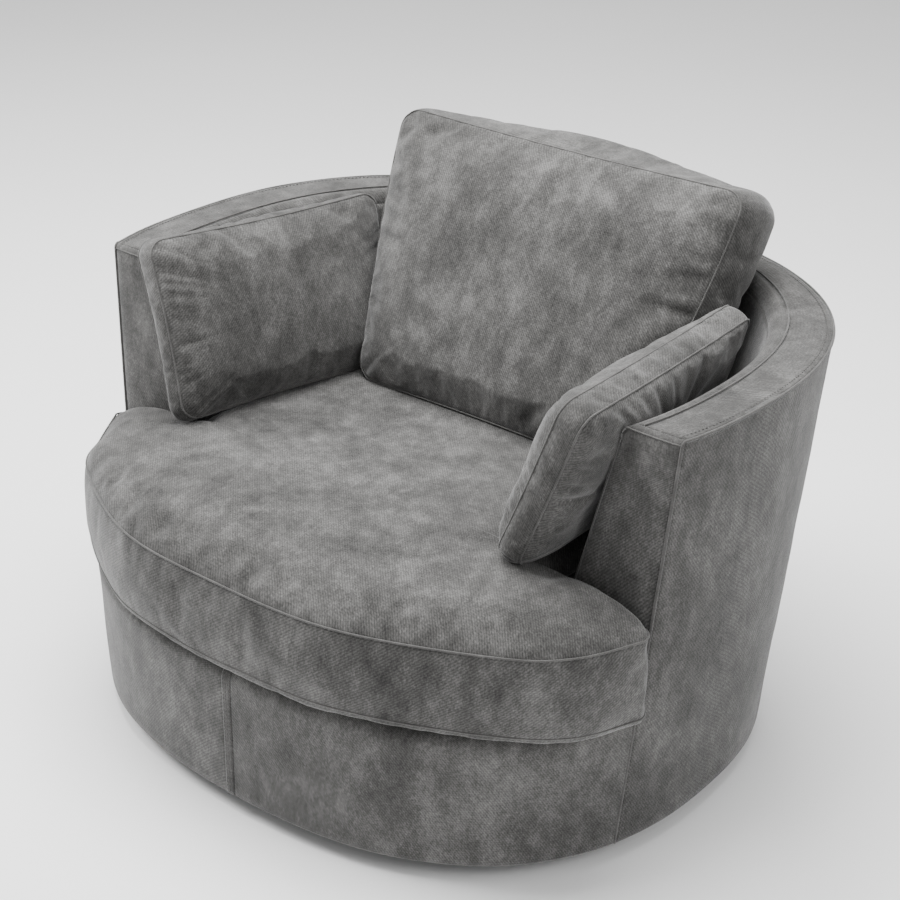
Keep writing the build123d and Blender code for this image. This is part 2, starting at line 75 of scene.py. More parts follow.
class NodeSketch:
    """Short-hand for wiring one material's nodes."""

    def __init__(self, name: str) -> None:
        """Start an empty material.

        Args:
            name: Name of the material.
        """
        self.material = bpy.data.materials.new(name)
        self.material.use_nodes = True
        self.tree = self.material.node_tree
        self.tree.nodes.clear()
        self.output = self.tree.nodes.new("ShaderNodeOutputMaterial")
        self.shader = self.tree.nodes.new("ShaderNodeBsdfPrincipled")
        self.link(self.shader, "BSDF", self.output, "Surface")

    def node(self, kind: str, **settings: object) -> bpy.types.Node:
        """Add a node.

        Args:
            kind: Node type without its ShaderNode prefix.
            **settings: Attributes of the node, or its inputs by name with _ for a space.

        Returns:
            The new node.
        """
        made = self.tree.nodes.new("ShaderNode" + kind)
        for key, value in settings.items():
            if hasattr(made, key):
                setattr(made, key, value)
            else:
                made.inputs[key.replace("_", " ")].default_value = value
        return made

    def link(self, source: bpy.types.Node, output: str, target: bpy.types.Node, socket: str | int) -> None:
        """Join one output to one input.

        Args:
            source: Node that gives the value.
            output: Name of its output.
            target: Node that takes the value.
            socket: Name or place of its input.
        """
        self.tree.links.new(source.outputs[output], target.inputs[socket])

    def place(self, turn: Sequence[float] = (0.0, 0.0, 0.0)) -> bpy.types.Node:
        """Give object coordinates, turned.

        Args:
            turn: Rotation of the pattern, in radians.

        Returns:
            The Mapping node.
        """
        where = self.node("TexCoord")
        mapping = self.node("Mapping")
        mapping.inputs["Rotation"].default_value = turn
        self.link(where, "Object", mapping, "Vector")
        return mapping

    def ramp(self, source: bpy.types.Node, output: str,
             stops: Sequence[tuple[float, Sequence[float]]]) -> bpy.types.Node:
        """Colour a value.

        Args:
            source: Node that gives the value.
            output: Name of its output.
            stops: Places from 0 to 1 and their colours.

        Returns:
            The colour ramp node.
        """
        ramp = self.node("ValToRGB")
        while len(ramp.color_ramp.elements) < len(stops):
            ramp.color_ramp.elements.new(0.5)
        for element, (position, colour) in zip(ramp.color_ramp.elements, stops):
            element.position = position
            element.color = (*colour, 1.0)
        self.link(source, output, ramp, "Fac")
        return ramp

    def blend(self, first: bpy.types.Node, second: bpy.types.Node, share: float) -> bpy.types.Node:
        """Mix two values.

        Args:
            first: Node whose value is kept at share 0.
            second: Node whose value is taken at share 1.
            share: Share of the second.

        Returns:
            The Mix node.
        """
        mixed = self.node("Mix", data_type="FLOAT")
        mixed.inputs[0].default_value = share
        for place, source in ((2, first), (3, second)):
            output = "Result" if "Result" in source.outputs else "Fac"
            self.tree.links.new(source.outputs[output], mixed.inputs[place])
        return mixed

    def bump(self, source: bpy.types.Node, output: str, depth: float,
             under: bpy.types.Node | None = None) -> bpy.types.Node:
        """Add relief.

        Args:
            source: Node that gives the height.
            output: Name of its output.
            depth: Depth of the relief in metres.
            under: Relief that this one lies on.

        Returns:
            The bump node.
        """
        bump = self.node("Bump", Strength=1.0, Distance=depth)
        self.link(source, output, bump, "Height")
        if under is not None:
            self.link(under, "Normal", bump, "Normal")
        return bump

    def dress(self, colour: bpy.types.Node, relief: bpy.types.Node) -> bpy.types.Material:
        """Feed the shader.

        Args:
            colour: Node with a Color output.
            relief: Node with a Normal output.

        Returns:
            The finished material.
        """
        self.link(colour, "Color", self.shader, "Base Color")
        self.link(relief, "Normal", self.shader, "Normal")
        return self.material


@dataclass(frozen=True)
class ClothFinish:
    """Woven cloth with a brushed nap."""

    name: str
    dark: tuple[float, float, float]
    middle: tuple[float, float, float]
    light: tuple[float, float, float]
    weave: Weave = Weave.TWILL
    pitch: float = 0.0034
    relief: float = 0.0003
    cloud: float = 9.0
    sheen: float = 0.30
    roughness: float = 0.93

    def make(self) -> bpy.types.Material:
        """Build the material.

        Returns:
            Cloth with cloudy nap, fine weave and sheen.
        """
        sketch = NodeSketch(self.name)
        shader = sketch.shader
        shader.inputs["Roughness"].default_value = self.roughness
        shader.inputs["Specular IOR Level"].default_value = 0.15
        shader.inputs["Sheen Weight"].default_value = self.sheen
        shader.inputs["Sheen Roughness"].default_value = 0.40
        clouds = self._noise(sketch, self.cloud, 0.25)
        patches = self._noise(sketch, self.cloud * 4.2, 0.15)
        grain = self._noise(sketch, self.cloud * 40.0, 0.0)
        nap = sketch.blend(sketch.blend(clouds, patches, 0.42), grain, 0.36)
        shade = sketch.ramp(nap, "Result", ((0.395, self.dark), (0.50, self.middle), (0.605, self.light)))
        thread = self._weave(sketch)
        tint = sketch.node("Mix", data_type="RGBA", blend_type="MULTIPLY")
        tint.inputs[0].default_value = 0.70
        sketch.tree.links.new(shade.outputs["Color"], tint.inputs[6])
        sketch.tree.links.new(thread.outputs["Color"], tint.inputs[7])
        nap_relief = sketch.bump(nap, "Result", self.relief * 5.0)
        relief = sketch.bump(thread, "Color", self.relief, nap_relief)
        sketch.tree.links.new(tint.outputs[2], shader.inputs["Base Color"])
        sketch.link(relief, "Normal", shader, "Normal")
        return sketch.material

    def _noise(self, sketch: NodeSketch, scale: float, twist: float) -> bpy.types.Node:
        """Draw one size of nap.

        Args:
            sketch: Material in the making.
            scale: Patches to a metre.
            twist: How far patches are drawn out.

        Returns:
            The noise node.
        """
        where = sketch.place((0.3, 0.2, 0.5))
        where.inputs["Scale"].default_value = (1.0, 1.0, 0.62)
        made = sketch.node("TexNoise", Scale=scale, Detail=10.0, Roughness=0.70, Distortion=twist)
        sketch.link(where, "Vector", made, "Vector")
        return made

    def _weave(self, sketch: NodeSketch) -> bpy.types.Node:
        """Draw the threads on the piece's cloth map.

        Args:
            sketch: Material in the making.

        Returns:
            Colour ramp from dark gaps to pale threads.
        """
        cloth = sketch.node("UVMap", uv_map="cloth")
        ribs = sketch.node("TexWave", Scale=0.444 / self.pitch, Distortion=2.2, Detail=2.0, Detail_Scale=1.5)
        ribs.bands_direction = "DIAGONAL" if self.weave is Weave.TWILL else "X"
        cross = sketch.node("TexWave", Scale=0.314 / self.pitch, Distortion=1.2, Detail=1.0,
                            Detail_Scale=1.5)
        cross.bands_direction = "Y"
        for wave in (ribs, cross):
            sketch.link(cloth, "UV", wave, "Vector")
        mixed = sketch.blend(ribs, cross, 0.30)
        return sketch.ramp(mixed, "Result", ((0.15, (0.52, 0.52, 0.52)), (0.75, (1.0, 1.0, 1.0))))


@dataclass(frozen=True)
class TimberFinish:
    """Bare, stained or pressed board."""

    name: str
    dark: tuple[float, float, float]
    light: tuple[float, float, float]
    grain: float = 14.0
    stretch: float = 9.0
    roughness: float = 0.62

    def make(self) -> bpy.types.Material:
        """Build the material.

        Returns:
            Board with drawn-out grain.
        """
        sketch = NodeSketch(self.name)
        sketch.shader.inputs["Roughness"].default_value = self.roughness
        where = sketch.place((0.0, 0.0, 0.12))
        where.inputs["Scale"].default_value = (1.0, self.stretch, 2.0)
        rings = sketch.node("TexNoise", Scale=self.grain, Detail=8.0, Roughness=0.68, Distortion=0.5)
        sketch.link(where, "Vector", rings, "Vector")
        colour = sketch.ramp(rings, "Fac", ((0.32, self.dark), (0.68, self.light)))
        return sketch.dress(colour, sketch.bump(rings, "Fac", 0.0004))


@dataclass(frozen=True)
class HardFinish:
    """Plated steel, spring wire or moulded plastic."""

    name: str
    dark: tuple[float, float, float]
    light: tuple[float, float, float]
    metallic: float
    roughness: float
    speckle: float = 180.0

    def make(self) -> bpy.types.Material:
        """Build the material.

        Returns:
            Hard surface with fine speckle and smears.
        """
        sketch = NodeSketch(self.name)
        sketch.shader.inputs["Metallic"].default_value = self.metallic
        sketch.shader.inputs["Roughness"].default_value = self.roughness
        where = sketch.place()
        fine = sketch.node("TexNoise", Scale=self.speckle, Detail=4.0, Roughness=0.6)
        sketch.link(where, "Vector", fine, "Vector")
        colour = sketch.ramp(fine, "Fac", ((0.35, self.dark), (0.65, self.light)))
        return sketch.dress(colour, sketch.bump(fine, "Fac", 0.0001))


VELVET = ClothFinish("grey_velvet", (0.032, 0.0315, 0.0305), (0.080, 0.0785, 0.076), (0.165, 0.162, 0.158))
# Seam ridges: the same velvet painted lighter, a painted highlight standing in for the top light on the
# raised seams.
SEAM_VELVET_PAINTED_HIGHLIGHT = ClothFinish("grey_velvet_seam", (0.085, 0.083, 0.081), (0.125, 0.1225, 0.119),
                          (0.18, 0.177, 0.172), cloud=18.0)
THREAD = ClothFinish("grey_thread", (0.07, 0.069, 0.067), (0.12, 0.118, 0.114), (0.19, 0.187, 0.182),
                     weave=Weave.PLAIN, pitch=0.0008, relief=0.0001, cloud=60.0, sheen=0.1, roughness=0.7)
LINING = ClothFinish("black_lining", (0.010, 0.010, 0.010), (0.018, 0.018, 0.018), (0.03, 0.03, 0.03),
                     weave=Weave.PLAIN, pitch=0.0014, relief=0.0002, cloud=12.0, sheen=0.1)
FOAM = ClothFinish("padding", (0.52, 0.49, 0.40), (0.68, 0.64, 0.53), (0.78, 0.74, 0.63),
                   weave=Weave.PLAIN, pitch=0.003, relief=0.0004, cloud=20.0, sheen=0.0, roughness=0.95)
WEBBING = ClothFinish("webbing", (0.12, 0.09, 0.05), (0.22, 0.16, 0.10), (0.30, 0.23, 0.15),
                      weave=Weave.PLAIN, pitch=0.0024, relief=0.0003, cloud=14.0, sheen=0.0)
PLY = TimberFinish("bare_ply", (0.42, 0.28, 0.15), (0.62, 0.45, 0.28))
BLACK_BOARD = TimberFinish("black_board", (0.010, 0.010, 0.010), (0.030, 0.029, 0.028))
FIBREBOARD = TimberFinish("fibreboard", (0.17, 0.11, 0.06), (0.28, 0.19, 0.11), grain=90.0, stretch=1.0)
STEEL = HardFinish("plated_steel", (0.42, 0.42, 0.43), (0.58, 0.58, 0.60), 1.0, 0.34)
SPRING_WIRE = HardFinish("spring_wire", (0.06, 0.06, 0.065), (0.14, 0.14, 0.15), 1.0, 0.42)
BLACK_PLASTIC = HardFinish("black_plastic", (0.012, 0.012, 0.012), (0.022, 0.022, 0.022), 0.0, 0.55)
NYLON = HardFinish("nylon", (0.62, 0.61, 0.56), (0.72, 0.71, 0.67), 0.0, 0.5)

SLOT_FINISH = {"upholstery": VELVET, "foam": FOAM, "lining": LINING, "webbing": WEBBING, "ply": PLY,
               "black_board": BLACK_BOARD, "fibreboard": FIBREBOARD, "steel": STEEL,
               "spring_steel": SPRING_WIRE, "black_plastic": BLACK_PLASTIC, "nylon": NYLON}


class Wardrobe:
    """Materials of the chair, each built once."""

    def __init__(self) -> None:
        """Start with no material."""
        self.made: dict[str, bpy.types.Material] = {}

    def get(self, finish: ClothFinish | TimberFinish | HardFinish) -> bpy.types.Material:
        """Give a finish's material.

        Args:
            finish: The finish.

        Returns:
            Its material, built on first use.
        """
        if finish.name not in self.made:
            self.made[finish.name] = finish.make()
        return self.made[finish.name]


WARDROBE = Wardrobe()


# Mesh helpers


def finish_piece(bm: bmesh.types.BMesh, name: str, finish: ClothFinish, body: str) -> bpy.types.Object:
    """Turn a bmesh into a smooth, dressed piece that rides on a body.

    Args:
        bm: The mesh, which is freed.
        name: Name of the piece.
        finish: Its finish.
        body: Body that it rides on.

    Returns:
        The new object.
    """
    mesh = bpy.data.meshes.new(name)
    for face in bm.faces:
        face.smooth = True
    bm.to_mesh(mesh)
    bm.free()
    piece = bpy.data.objects.new(name, mesh)
    bpy.context.scene.collection.objects.link(piece)
    mesh.materials.append(WARDROBE.get(finish))
    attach(piece, body)
    return piece


def span(surface: Surface, steps: int, along: bool) -> float:
    """Measure a surface across its middle.

    Args:
        surface: Place for two shares from 0 to 1.
        steps: Steps to measure in.
        along: Whether to measure in its second direction.

    Returns:
        The length.
    """
    places = [surface(0.5, k / steps) if along else surface(k / steps, 0.5) for k in range(steps + 1)]
    return sum((b - a).length for a, b in zip(places, places[1:]))


def sheet(name: str, across: int, along: int, surface: Surface, body: str, thickness: float,
          flip: bool = False) -> bpy.types.Object:
    """Lay a grid on a surface and give it thickness.

    Args:
        name: Name of the piece.
        across: Faces along the surface's first direction.
        along: Faces along its second direction.
        surface: Place for two shares from 0 to 1.
        body: Body that it rides on.
        thickness: Thickness inwards.
        flip: Whether the grid's own faces point inwards.

    Returns:
        The new object.
    """
    bm = bmesh.new()
    bmesh.ops.create_grid(bm, x_segments=across, y_segments=along, size=0.5)
    cloth = bm.loops.layers.uv.new("cloth")
    width, height = span(surface, across, False), span(surface, along, True)
    for face in bm.faces:
        for loop in face.loops:
            loop[cloth].uv = loop.vert.co.x * width, loop.vert.co.y * height
    for vert in bm.verts:
        vert.co = surface(vert.co.x + 0.5, vert.co.y + 0.5)
    if flip:
        bmesh.ops.reverse_faces(bm, faces=bm.faces[:])
    piece = finish_piece(bm, name, VELVET, body)
    solid = piece.modifiers.new("thickness", "SOLIDIFY")
    solid.thickness = thickness
    solid.offset = -1.0
    return piece


def tube(name: str, points: Sequence[Vector], radius: float, body: str,
         closed: bool = False) -> bpy.types.Object:
    """Run a sewn ridge along points.

    Args:
        name: Name of the piece.
        points: Places that the ridge runs through.
        radius: Radius of the ridge.
        body: Body that it rides on.
        closed: Whether it ends where it starts.

    Returns:
        The new object.
    """
    curve = bpy.data.curves.new(name, "CURVE")
    curve.dimensions = "3D"
    curve.bevel_depth = radius
    curve.bevel_resolution = 2
    curve.use_fill_caps = True
    line = curve.splines.new("POLY")
    line.points.add(len(points) - 1)
    for target, place in zip(line.points, points):
        target.co = (*place, 1.0)
    line.use_cyclic_u = closed
    carrier = bpy.data.objects.new(name + "_line", curve)
    bpy.context.scene.collection.objects.link(carrier)
    bpy.context.view_layer.update()
    made = bpy.data.meshes.new_from_object(carrier.evaluated_get(bpy.context.evaluated_depsgraph_get()))
    bpy.data.objects.remove(carrier)
    bpy.data.curves.remove(curve)
    bm = bmesh.new()
    bm.from_mesh(made)
    bpy.data.meshes.remove(made)
    bmesh.ops.remove_doubles(bm, verts=bm.verts[:], dist=1e-6)
    bmesh.ops.recalc_face_normals(bm, faces=bm.faces[:])
    # Ridges take the seam velvet, painted lighter as a painted highlight.
    return finish_piece(bm, name, SEAM_VELVET_PAINTED_HIGHLIGHT, body)


def stitches(name: str, points: Sequence[Vector], normals: Sequence[Vector], body: str,
             pitch: float = 0.0065, length: float = 0.0046, radius: float = 0.0007) -> bpy.types.Object:
    """Sew a row of stitches along points.

    Args:
        name: Name of the piece.
        points: Places along the row.
        normals: Outward direction at each place.
        body: Body that it rides on.
        pitch: Distance from one stitch to the next.
        length: Length of a stitch.
        radius: Radius of the thread.

    Returns:
        The new object.
    """
    bm = bmesh.new()
    walked = 0.0
    due = pitch
    for index in range(len(points) - 1):
        start, end = points[index], points[index + 1]
        step = (end - start).length
        if step < 1e-9:
            continue
        ahead = (end - start) / step
        while due <= walked + step:
            spot = start + ahead * (due - walked)
            turn = Vector((0, 0, 1)).rotation_difference(ahead).to_matrix().to_4x4()
            drawn_out = Matrix.Diagonal((1, 1, length / radius / 2, 1))
            place = Matrix.Translation(spot + normals[index] * radius * 0.5) @ turn @ drawn_out
            bmesh.ops.create_icosphere(bm, subdivisions=1, radius=radius, matrix=place)
            due += pitch
        walked += step
    return finish_piece(bm, name, THREAD, body)


def softness(place: Vector, size: float, depth: float) -> float:
    """Slight unevenness of stuffed cloth.

    Args:
        place: Where it is.
        size: Width of a hump.
        depth: Height of a hump.

    Returns:
        A height around 0.
    """
    return depth * noise.noise(place / size)


# The tub


@dataclass(frozen=True)
class Plan:
    """Half width, front, rear and centre of a squared round."""

    half_width: float
    front: float
    rear: float
    centre: float

    def toward(self, other: "Plan", share: float) -> "Plan":
        """Give the plan between two.

        Args:
            other: The plan at share 1.
            share: Share of the way.

        Returns:
            The blended plan.
        """
        mix = [a + (b - a) * share for a, b in zip(
            (self.half_width, self.front, self.rear, self.centre),
            (other.half_width, other.front, other.rear, other.centre))]
        return Plan(*mix)

    def grown(self, amount: float) -> "Plan":
        """Give the plan moved out by an amount."""
        return Plan(self.half_width + amount, self.front + amount, self.rear + amount, self.centre)

    def point(self, angle: float, power: float) -> Point:
        """Give a point of the outline.

        Args:
            angle: Angle from +X, towards the rear.
            power: Squareness of the outline.

        Returns:
            Place in plan.
        """
        across, along = math.cos(angle), math.sin(angle)
        depth = self.rear - self.centre if along > 0 else self.front + self.centre
        x = self.half_width * math.copysign(abs(across) ** (2 / power), across)
        return x, self.centre + depth * math.copysign(abs(along) ** (2 / power), along)

    def angle_at(self, y: float, power: float) -> float:
        """Give the right-hand angle of the outline at a depth.

        Args:
            y: Depth, in front of the centre.
            power: Squareness of the outline.

        Returns:
            A negative angle.
        """
        depth = self.front + self.centre
        return -math.asin(min(1.0, ((self.centre - y) / depth) ** (power / 2)))


# Inset and rise of each row of the hem, from its hidden edge to the wall.
HEM_TURN = ((0.014, 0.0012), (0.007, 0.0), (0.002, 0.0010), (0.0, 0.005))


@dataclass
class Tub:
    """Upholstery of the round base, arms and back.

    A hump is the width and height of a wall's unevenness.
    """

    body: str = "chair_shell"
    power: float = 2.4
    hem: Plan = Plan(0.517, 0.4746, 0.412, -0.030)
    rim: Plan = Plan(0.556, 0.4664, 0.4874, 0.012)
    inner_deck: Plan = Plan(0.375, 0.420, 0.330, 0.0)
    inner_rim: Plan = Plan(0.466, 0.420, 0.430, 0.0)
    hem_z: float = 0.027
    deck_z: float = 0.250
    rim_z: float = 0.655
    lining_z: float = 0.238
    arm_front_at_rim: float = 0.1615
    arm_front_lean: float = math.radians(4.2)
    roll: float = 0.018
    nose: float = 0.007
    shoulder: float = 0.028
    shoulder_steps: int = 8
    cover: float = 0.002
    walk: int = 220
    wall_hump: Point = (0.17, 0.0020)
    wall_ripple: Point = (0.055, 0.0006)
    rim_hump: Point = (0.09, 0.0016)
    lining_hump: Point = (0.13, 0.003)
    arm_hump: Point = (0.07, 0.0012)
    base_hump: Point = (0.13, 0.0022)
    base_fullness: float = 0.005
    rim_crown: float = 0.0022
    arm_pillow: float = 0.0055
    pillow_edge: float = 0.010
    edge_seam: float = 0.0022
    rim_seam: float = 0.0012
    arm_seam: float = 0.0011
    centre_seam_half: float = 0.0085
    centre_seam_thickness: float = 0.0012

    def outer_plan(self, z: float) -> Plan:
        """Give the outer wall's plan at a height."""
        return self.hem.toward(self.rim, (z - self.hem_z) / (self.rim_z - self.hem_z))

    def inner_plan(self, z: float) -> Plan:
        """Give the inner wall's plan at a height."""
        return self.inner_deck.toward(self.inner_rim, (z - self.deck_z) / (self.rim_z - self.deck_z))

    def arm_front(self, z: float) -> float:
        """Give the depth of the arm fronts at a height."""
        return -self.arm_front_at_rim - (self.rim_z - z) * math.tan(self.arm_front_lean)

    def nose_back(self, z: float) -> float:
        """Give how far the arm fronts round back at a height."""
        climb = min(self.nose, z - (self.rim_z - self.nose))
        return self.nose - math.sqrt(self.nose ** 2 - climb ** 2) if climb > 0 else 0.0

    def nose_height(self, bend: float) -> float:
        """Give the height on the rounded top edge at a bend in degrees."""
        return self.rim_z - self.nose * (1 - math.sin(math.radians(bend)))

    def around(self, plan: Plan, share: float, z: float, setback: float = 0.0) -> Vector:
        """Walk round a wall from the right arm front, by the rear, to the left one.

        Args:
            plan: Plan at that height.
            share: Share of the walk.
            z: Height.
            setback: Distance kept behind the arm fronts.

        Returns:
            The place.
        """
        start = plan.angle_at(self.arm_front(z) + setback, self.power)
        x, y = plan.point(start + share * (math.pi - 2 * start), self.power)
        return Vector((x, y, z))

    def wrap_point(self, share: float, z: float, inset: float) -> Vector:
        """Give a place on the outer wrap.

        Args:
            share: Share of the way from the right arm to the left one.
            z: Height.
            inset: Distance inside the wall.

        Returns:
            The place, with slight softness that fades towards the arm fronts.
        """
        fade_rate = 22
        back = self.nose_back(z)
        place = self.around(self.outer_plan(z).grown(-inset), share, z, back)
        puff = softness(place, *self.wall_hump) + softness(place + place.zxy * 0.4, *self.wall_ripple)
        puff *= min(1.0, fade_rate * min(share, 1 - share))
        return self.around(self.outer_plan(z).grown(puff - inset), share, z, back)

    def wall_profile(self, top: float, steps: int) -> list[Point]:
        """Give the rows of a wall from its turned-under hem up.

        Args:
            top: Height of the last row.
            steps: Rows above the hem.

        Returns:
            Inset and height of each row.
        """
        turn = [(inset, self.hem_z + rise) for inset, rise in HEM_TURN]
        foot = self.hem_z + HEM_TURN[-1][1]
        return turn + [(0.0, foot + (top - foot) * k / steps) for k in range(1, steps + 1)]

    def shoulder_profile(self, count: int) -> list[Point]:
        """Give the first rows of the rounded edge between base front and deck.

        Args:
            count: Number of rows.

        Returns:
            Inset and height of each row.
        """
        bends = [math.pi / 2 * k / self.shoulder_steps for k in range(1, count + 1)]
        knee = self.deck_z - self.shoulder
        radius = self.shoulder
        return [(radius * (1 - math.cos(bend)), knee + radius * math.sin(bend)) for bend in bends]

    def make_wrap(self) -> bpy.types.Object:
        """Build the wrap round arms and back, with its hem turned under.

        Returns:
            The wrap.
        """
        high = self.rim_z
        profile = self.wall_profile(high - self.nose, 46)
        profile += [(0.0, self.nose_height(bend)) for bend in range(12, 66, 9)]
        profile += [(0.0005, high - 0.0010), (0.002, high - 0.0003), (0.008, high)]
        rows = len(profile) - 1

        def surface(u: float, v: float) -> Vector:
            """Give a place, from arm to arm and from hem to rim."""
            inset, z = profile[round(v * rows)]
            return self.wrap_point(u, z, inset)

        piece = sheet("outer_wrap", self.walk, rows, surface, self.body, self.cover)
        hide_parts("outer_cover")
        return piece

    def make_rim(self) -> bpy.types.Object:
        """Build the band along the top, with its inner edge rolled.

        Returns:
            The rim band.
        """
        flat = 12
        rolled = 8
        rows = flat + rolled + 2
        end_rate = 70
        edge_inset = 0.003
        roll_lift = 0.0012
        tuck_step = 0.006
        tuck_outset = 0.0012

        def ends(u: float) -> float:
            """Give 0 at the band's ends to 1 on its way."""
            return math.sqrt(min(1.0, end_rate * min(u, 1 - u)))

        def surface(u: float, v: float) -> Vector:
            """Give a place on the band.

            Args:
                u: Share of the way from arm to arm.
                v: Share from the outer edge, over the top, to the tucked inner one.

            Returns:
                The place.
            """
            row = round(v * rows)
            if row <= flat:
                share = row / flat
                outer = self.around(self.outer_plan(self.rim_z).grown(-edge_inset), u, self.rim_z, self.nose)
                inner = self.around(self.inner_plan(self.rim_z).grown(self.roll), u, self.rim_z, self.nose)
                place = outer.lerp(inner, share)
                crown = self.rim_crown * math.sin(math.pi * (0.12 + 0.88 * share)) ** 0.7 - 0.001
                crown += softness(place, *self.rim_hump)
                return place + Vector((0, 0, crown * ends(u)))
            if row <= flat + rolled:
                bend = math.pi / 2 * (row - flat) / rolled
                z = self.rim_z - self.roll * (1 - math.cos(bend))
                lift = roll_lift * math.cos(bend) * ends(u)
                plan = self.inner_plan(z).grown(self.roll * (1 - math.sin(bend)))
                return self.around(plan, u, z, self.nose_back(z)) + Vector((0, 0, lift))
            z = self.rim_z - self.roll - tuck_step * (row - flat - rolled)
            return self.around(self.inner_plan(z).grown(tuck_outset), u, z)

        piece = sheet("rim_band", self.walk, rows, surface, self.body, self.cover)
        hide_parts("rim_cover")
        return piece

    def make_lining(self) -> bpy.types.Object:
        """Build the inside of arms and back.

        Returns:
            The inner lining.
        """
        low, high = self.lining_z, self.rim_z - self.roll - 0.001
        setback = 0.002
        fade = 0.05

        def surface(u: float, v: float) -> Vector:
            """Give a place on the lining.

            Args:
                u: Share of the way from arm to arm.
                v: Share from the rim down.

            Returns:
                The place.
            """
            z = high + (low - high) * v
            place = self.around(self.inner_plan(z), u, z, setback)
            puff = -abs(softness(place, *self.lining_hump)) * min(1.0, (high - z) / fade)
            return self.around(self.inner_plan(z).grown(puff), u, z, setback)

        piece = sheet("inner_lining", 150, 40, surface, self.body, self.cover)
        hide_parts("inner_cover")
        return piece

    def arm_edges(self, z: float) -> tuple[float, float]:
        """Give the outer and inner edge of the right arm front at a height.

        Args:
            z: Height.

        Returns:
            Outer and inner x.
        """
        outset = 0.0
        climb = z - (self.rim_z - self.roll)
        if climb > 0:
            outset = self.roll - math.sqrt(max(0.0, self.roll ** 2 - climb ** 2))
        outer = self.around(self.outer_plan(z), 0.0, z).x
        inner = self.around(self.inner_plan(z).grown(outset), 0.0, z).x
        return outer, inner

    def make_arm_front(self, side: Side) -> bpy.types.Object:
        """Build the panel on an arm's front.

        Args:
            side: Which arm.

        Returns:
            The panel.
        """
        low, high = self.deck_z + 0.001, self.rim_z - 0.0001
        sign = side.value
        edge_inset = 0.0004
        sunk_edge = 0.0014
        fade_height = 0.016

        def surface(u: float, v: float) -> Vector:
            """Give a place on the panel.

            Args:
                u: Share from the outer edge to the inner one.
                v: Share from the deck to the rim, closer together near the rim.

            Returns:
                The place.
            """
            z = low + (high - low) * (1 - (1 - v) ** 2)
            outer, inner = self.arm_edges(z)
            x = outer - edge_inset + (inner - outer + edge_inset) * u
            edge = min(u, 1 - u) * (outer - inner)
            fade = min(1.0, (high - z) / fade_height)
            pillow = self.arm_pillow * (1 - math.exp(-edge / self.pillow_edge)) - sunk_edge
            place = Vector((x, self.arm_front(z) + self.nose_back(z), z))
            y = place.y + (softness(place, *self.arm_hump) - pillow) * fade
            return Vector((x * sign, y, z))

        name = "arm_front_" + side.name.lower()
        piece = sheet(name, 28, 90, surface, self.body, self.cover, flip=sign > 0)
        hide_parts("arm_front_cover_" + side.name.lower())
        return piece

    def make_base_front(self, side: Side) -> bpy.types.Object:
        """Build the front panel of the base, from the centre seam to the arm seam.

        Args:
            side: Which half.

        Returns:
            The panel.
        """
        low = self.hem_z
        sign = side.value
        deck_lap = 0.046
        fold_depth = 0.0008
        fold_reach = 0.009
        profile = self.wall_profile(self.deck_z - self.shoulder, 18)
        profile += self.shoulder_profile(self.shoulder_steps)
        profile.append((deck_lap, self.deck_z))
        rows = len(profile) - 1

        def surface(u: float, v: float) -> Vector:
            """Give a place on the panel.

            Args:
                u: Share from the centre seam to the arm seam.
                v: Share from the hem to the deck.

            Returns:
                The place.
            """
            inset, z = profile[round(v * rows)]
            plan = self.outer_plan(z).grown(-inset)
            stop = plan.angle_at(self.arm_front(z), self.power)
            angle = -math.pi / 2 + (stop + math.pi / 2) * u
            x, y = plan.point(angle, self.power)
            place = Vector((x * sign, y, z))
            fold = fold_depth * math.exp(-abs(x) / fold_reach)
            full = self.base_fullness * (z - low) / (self.deck_z - low) * math.sin(math.pi * u)
            puff = softness(place, *self.base_hump) - fold + full
            x, y = plan.grown(puff).point(angle, self.power)
            return Vector((x * sign, y, z))

        name = "base_front_" + side.name.lower()
        piece = sheet(name, 110, rows, surface, self.body, self.cover, flip=sign < 0)
        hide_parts("front_cover_" + side.name.lower())
        return piece

    def edge_line(self) -> list[Vector]:
        """Follow the outer seam up the right arm, round the rim and down the left arm.

        Returns:
            Places along the seam.
        """
        climb, turn = 60, 260
        start = self.hem_z + 0.004
        steps = [start + (self.rim_z - self.nose - self.hem_z - 0.004) * k / climb for k in range(climb + 1)]
        steps += [self.nose_height(bend) for bend in range(10, 90, 10)]
        rise = [self.wrap_point(0.0, z, 0.0002) for z in steps]
        round_rim = [self.wrap_point(k / turn, self.rim_z - 0.0008, 0.0006) for k in range(turn + 1)]
        fall = [Vector((-p.x, p.y, p.z)) for p in reversed(rise)]
        return rise + round_rim[1:-1] + fall

    def make_seams(self) -> list[bpy.types.Object]:
        """Build the ridged seams and their stitching.

        Returns:
            The seam pieces.
        """
        above_rim = self.rim_z + 0.0012
        ridge_inset, row_inset = 0.004, 0.0105
        ridge_steps, row_steps = 200, 320
        made = [tube("outer_edge_seam", self.edge_line(), self.edge_seam, self.body)]
        inner_plan = self.inner_rim.grown(self.roll + ridge_inset)
        inner = [self.around(inner_plan, k / ridge_steps, above_rim, self.nose)
                 for k in range(ridge_steps + 1)]
        made.append(tube("rim_inner_seam", inner, self.rim_seam, self.body))
        for side in Side:
            made.append(self.make_arm_seam(side))
        made += self.make_centre_seam()
        row_plan = self.rim.grown(-row_inset)
        rim_row = [self.around(row_plan, k / row_steps, above_rim) for k in range(row_steps + 1)]
        made.append(stitches("rim_stitching", rim_row, [Vector((0, 0, 1))] * len(rim_row), self.body))
        return made

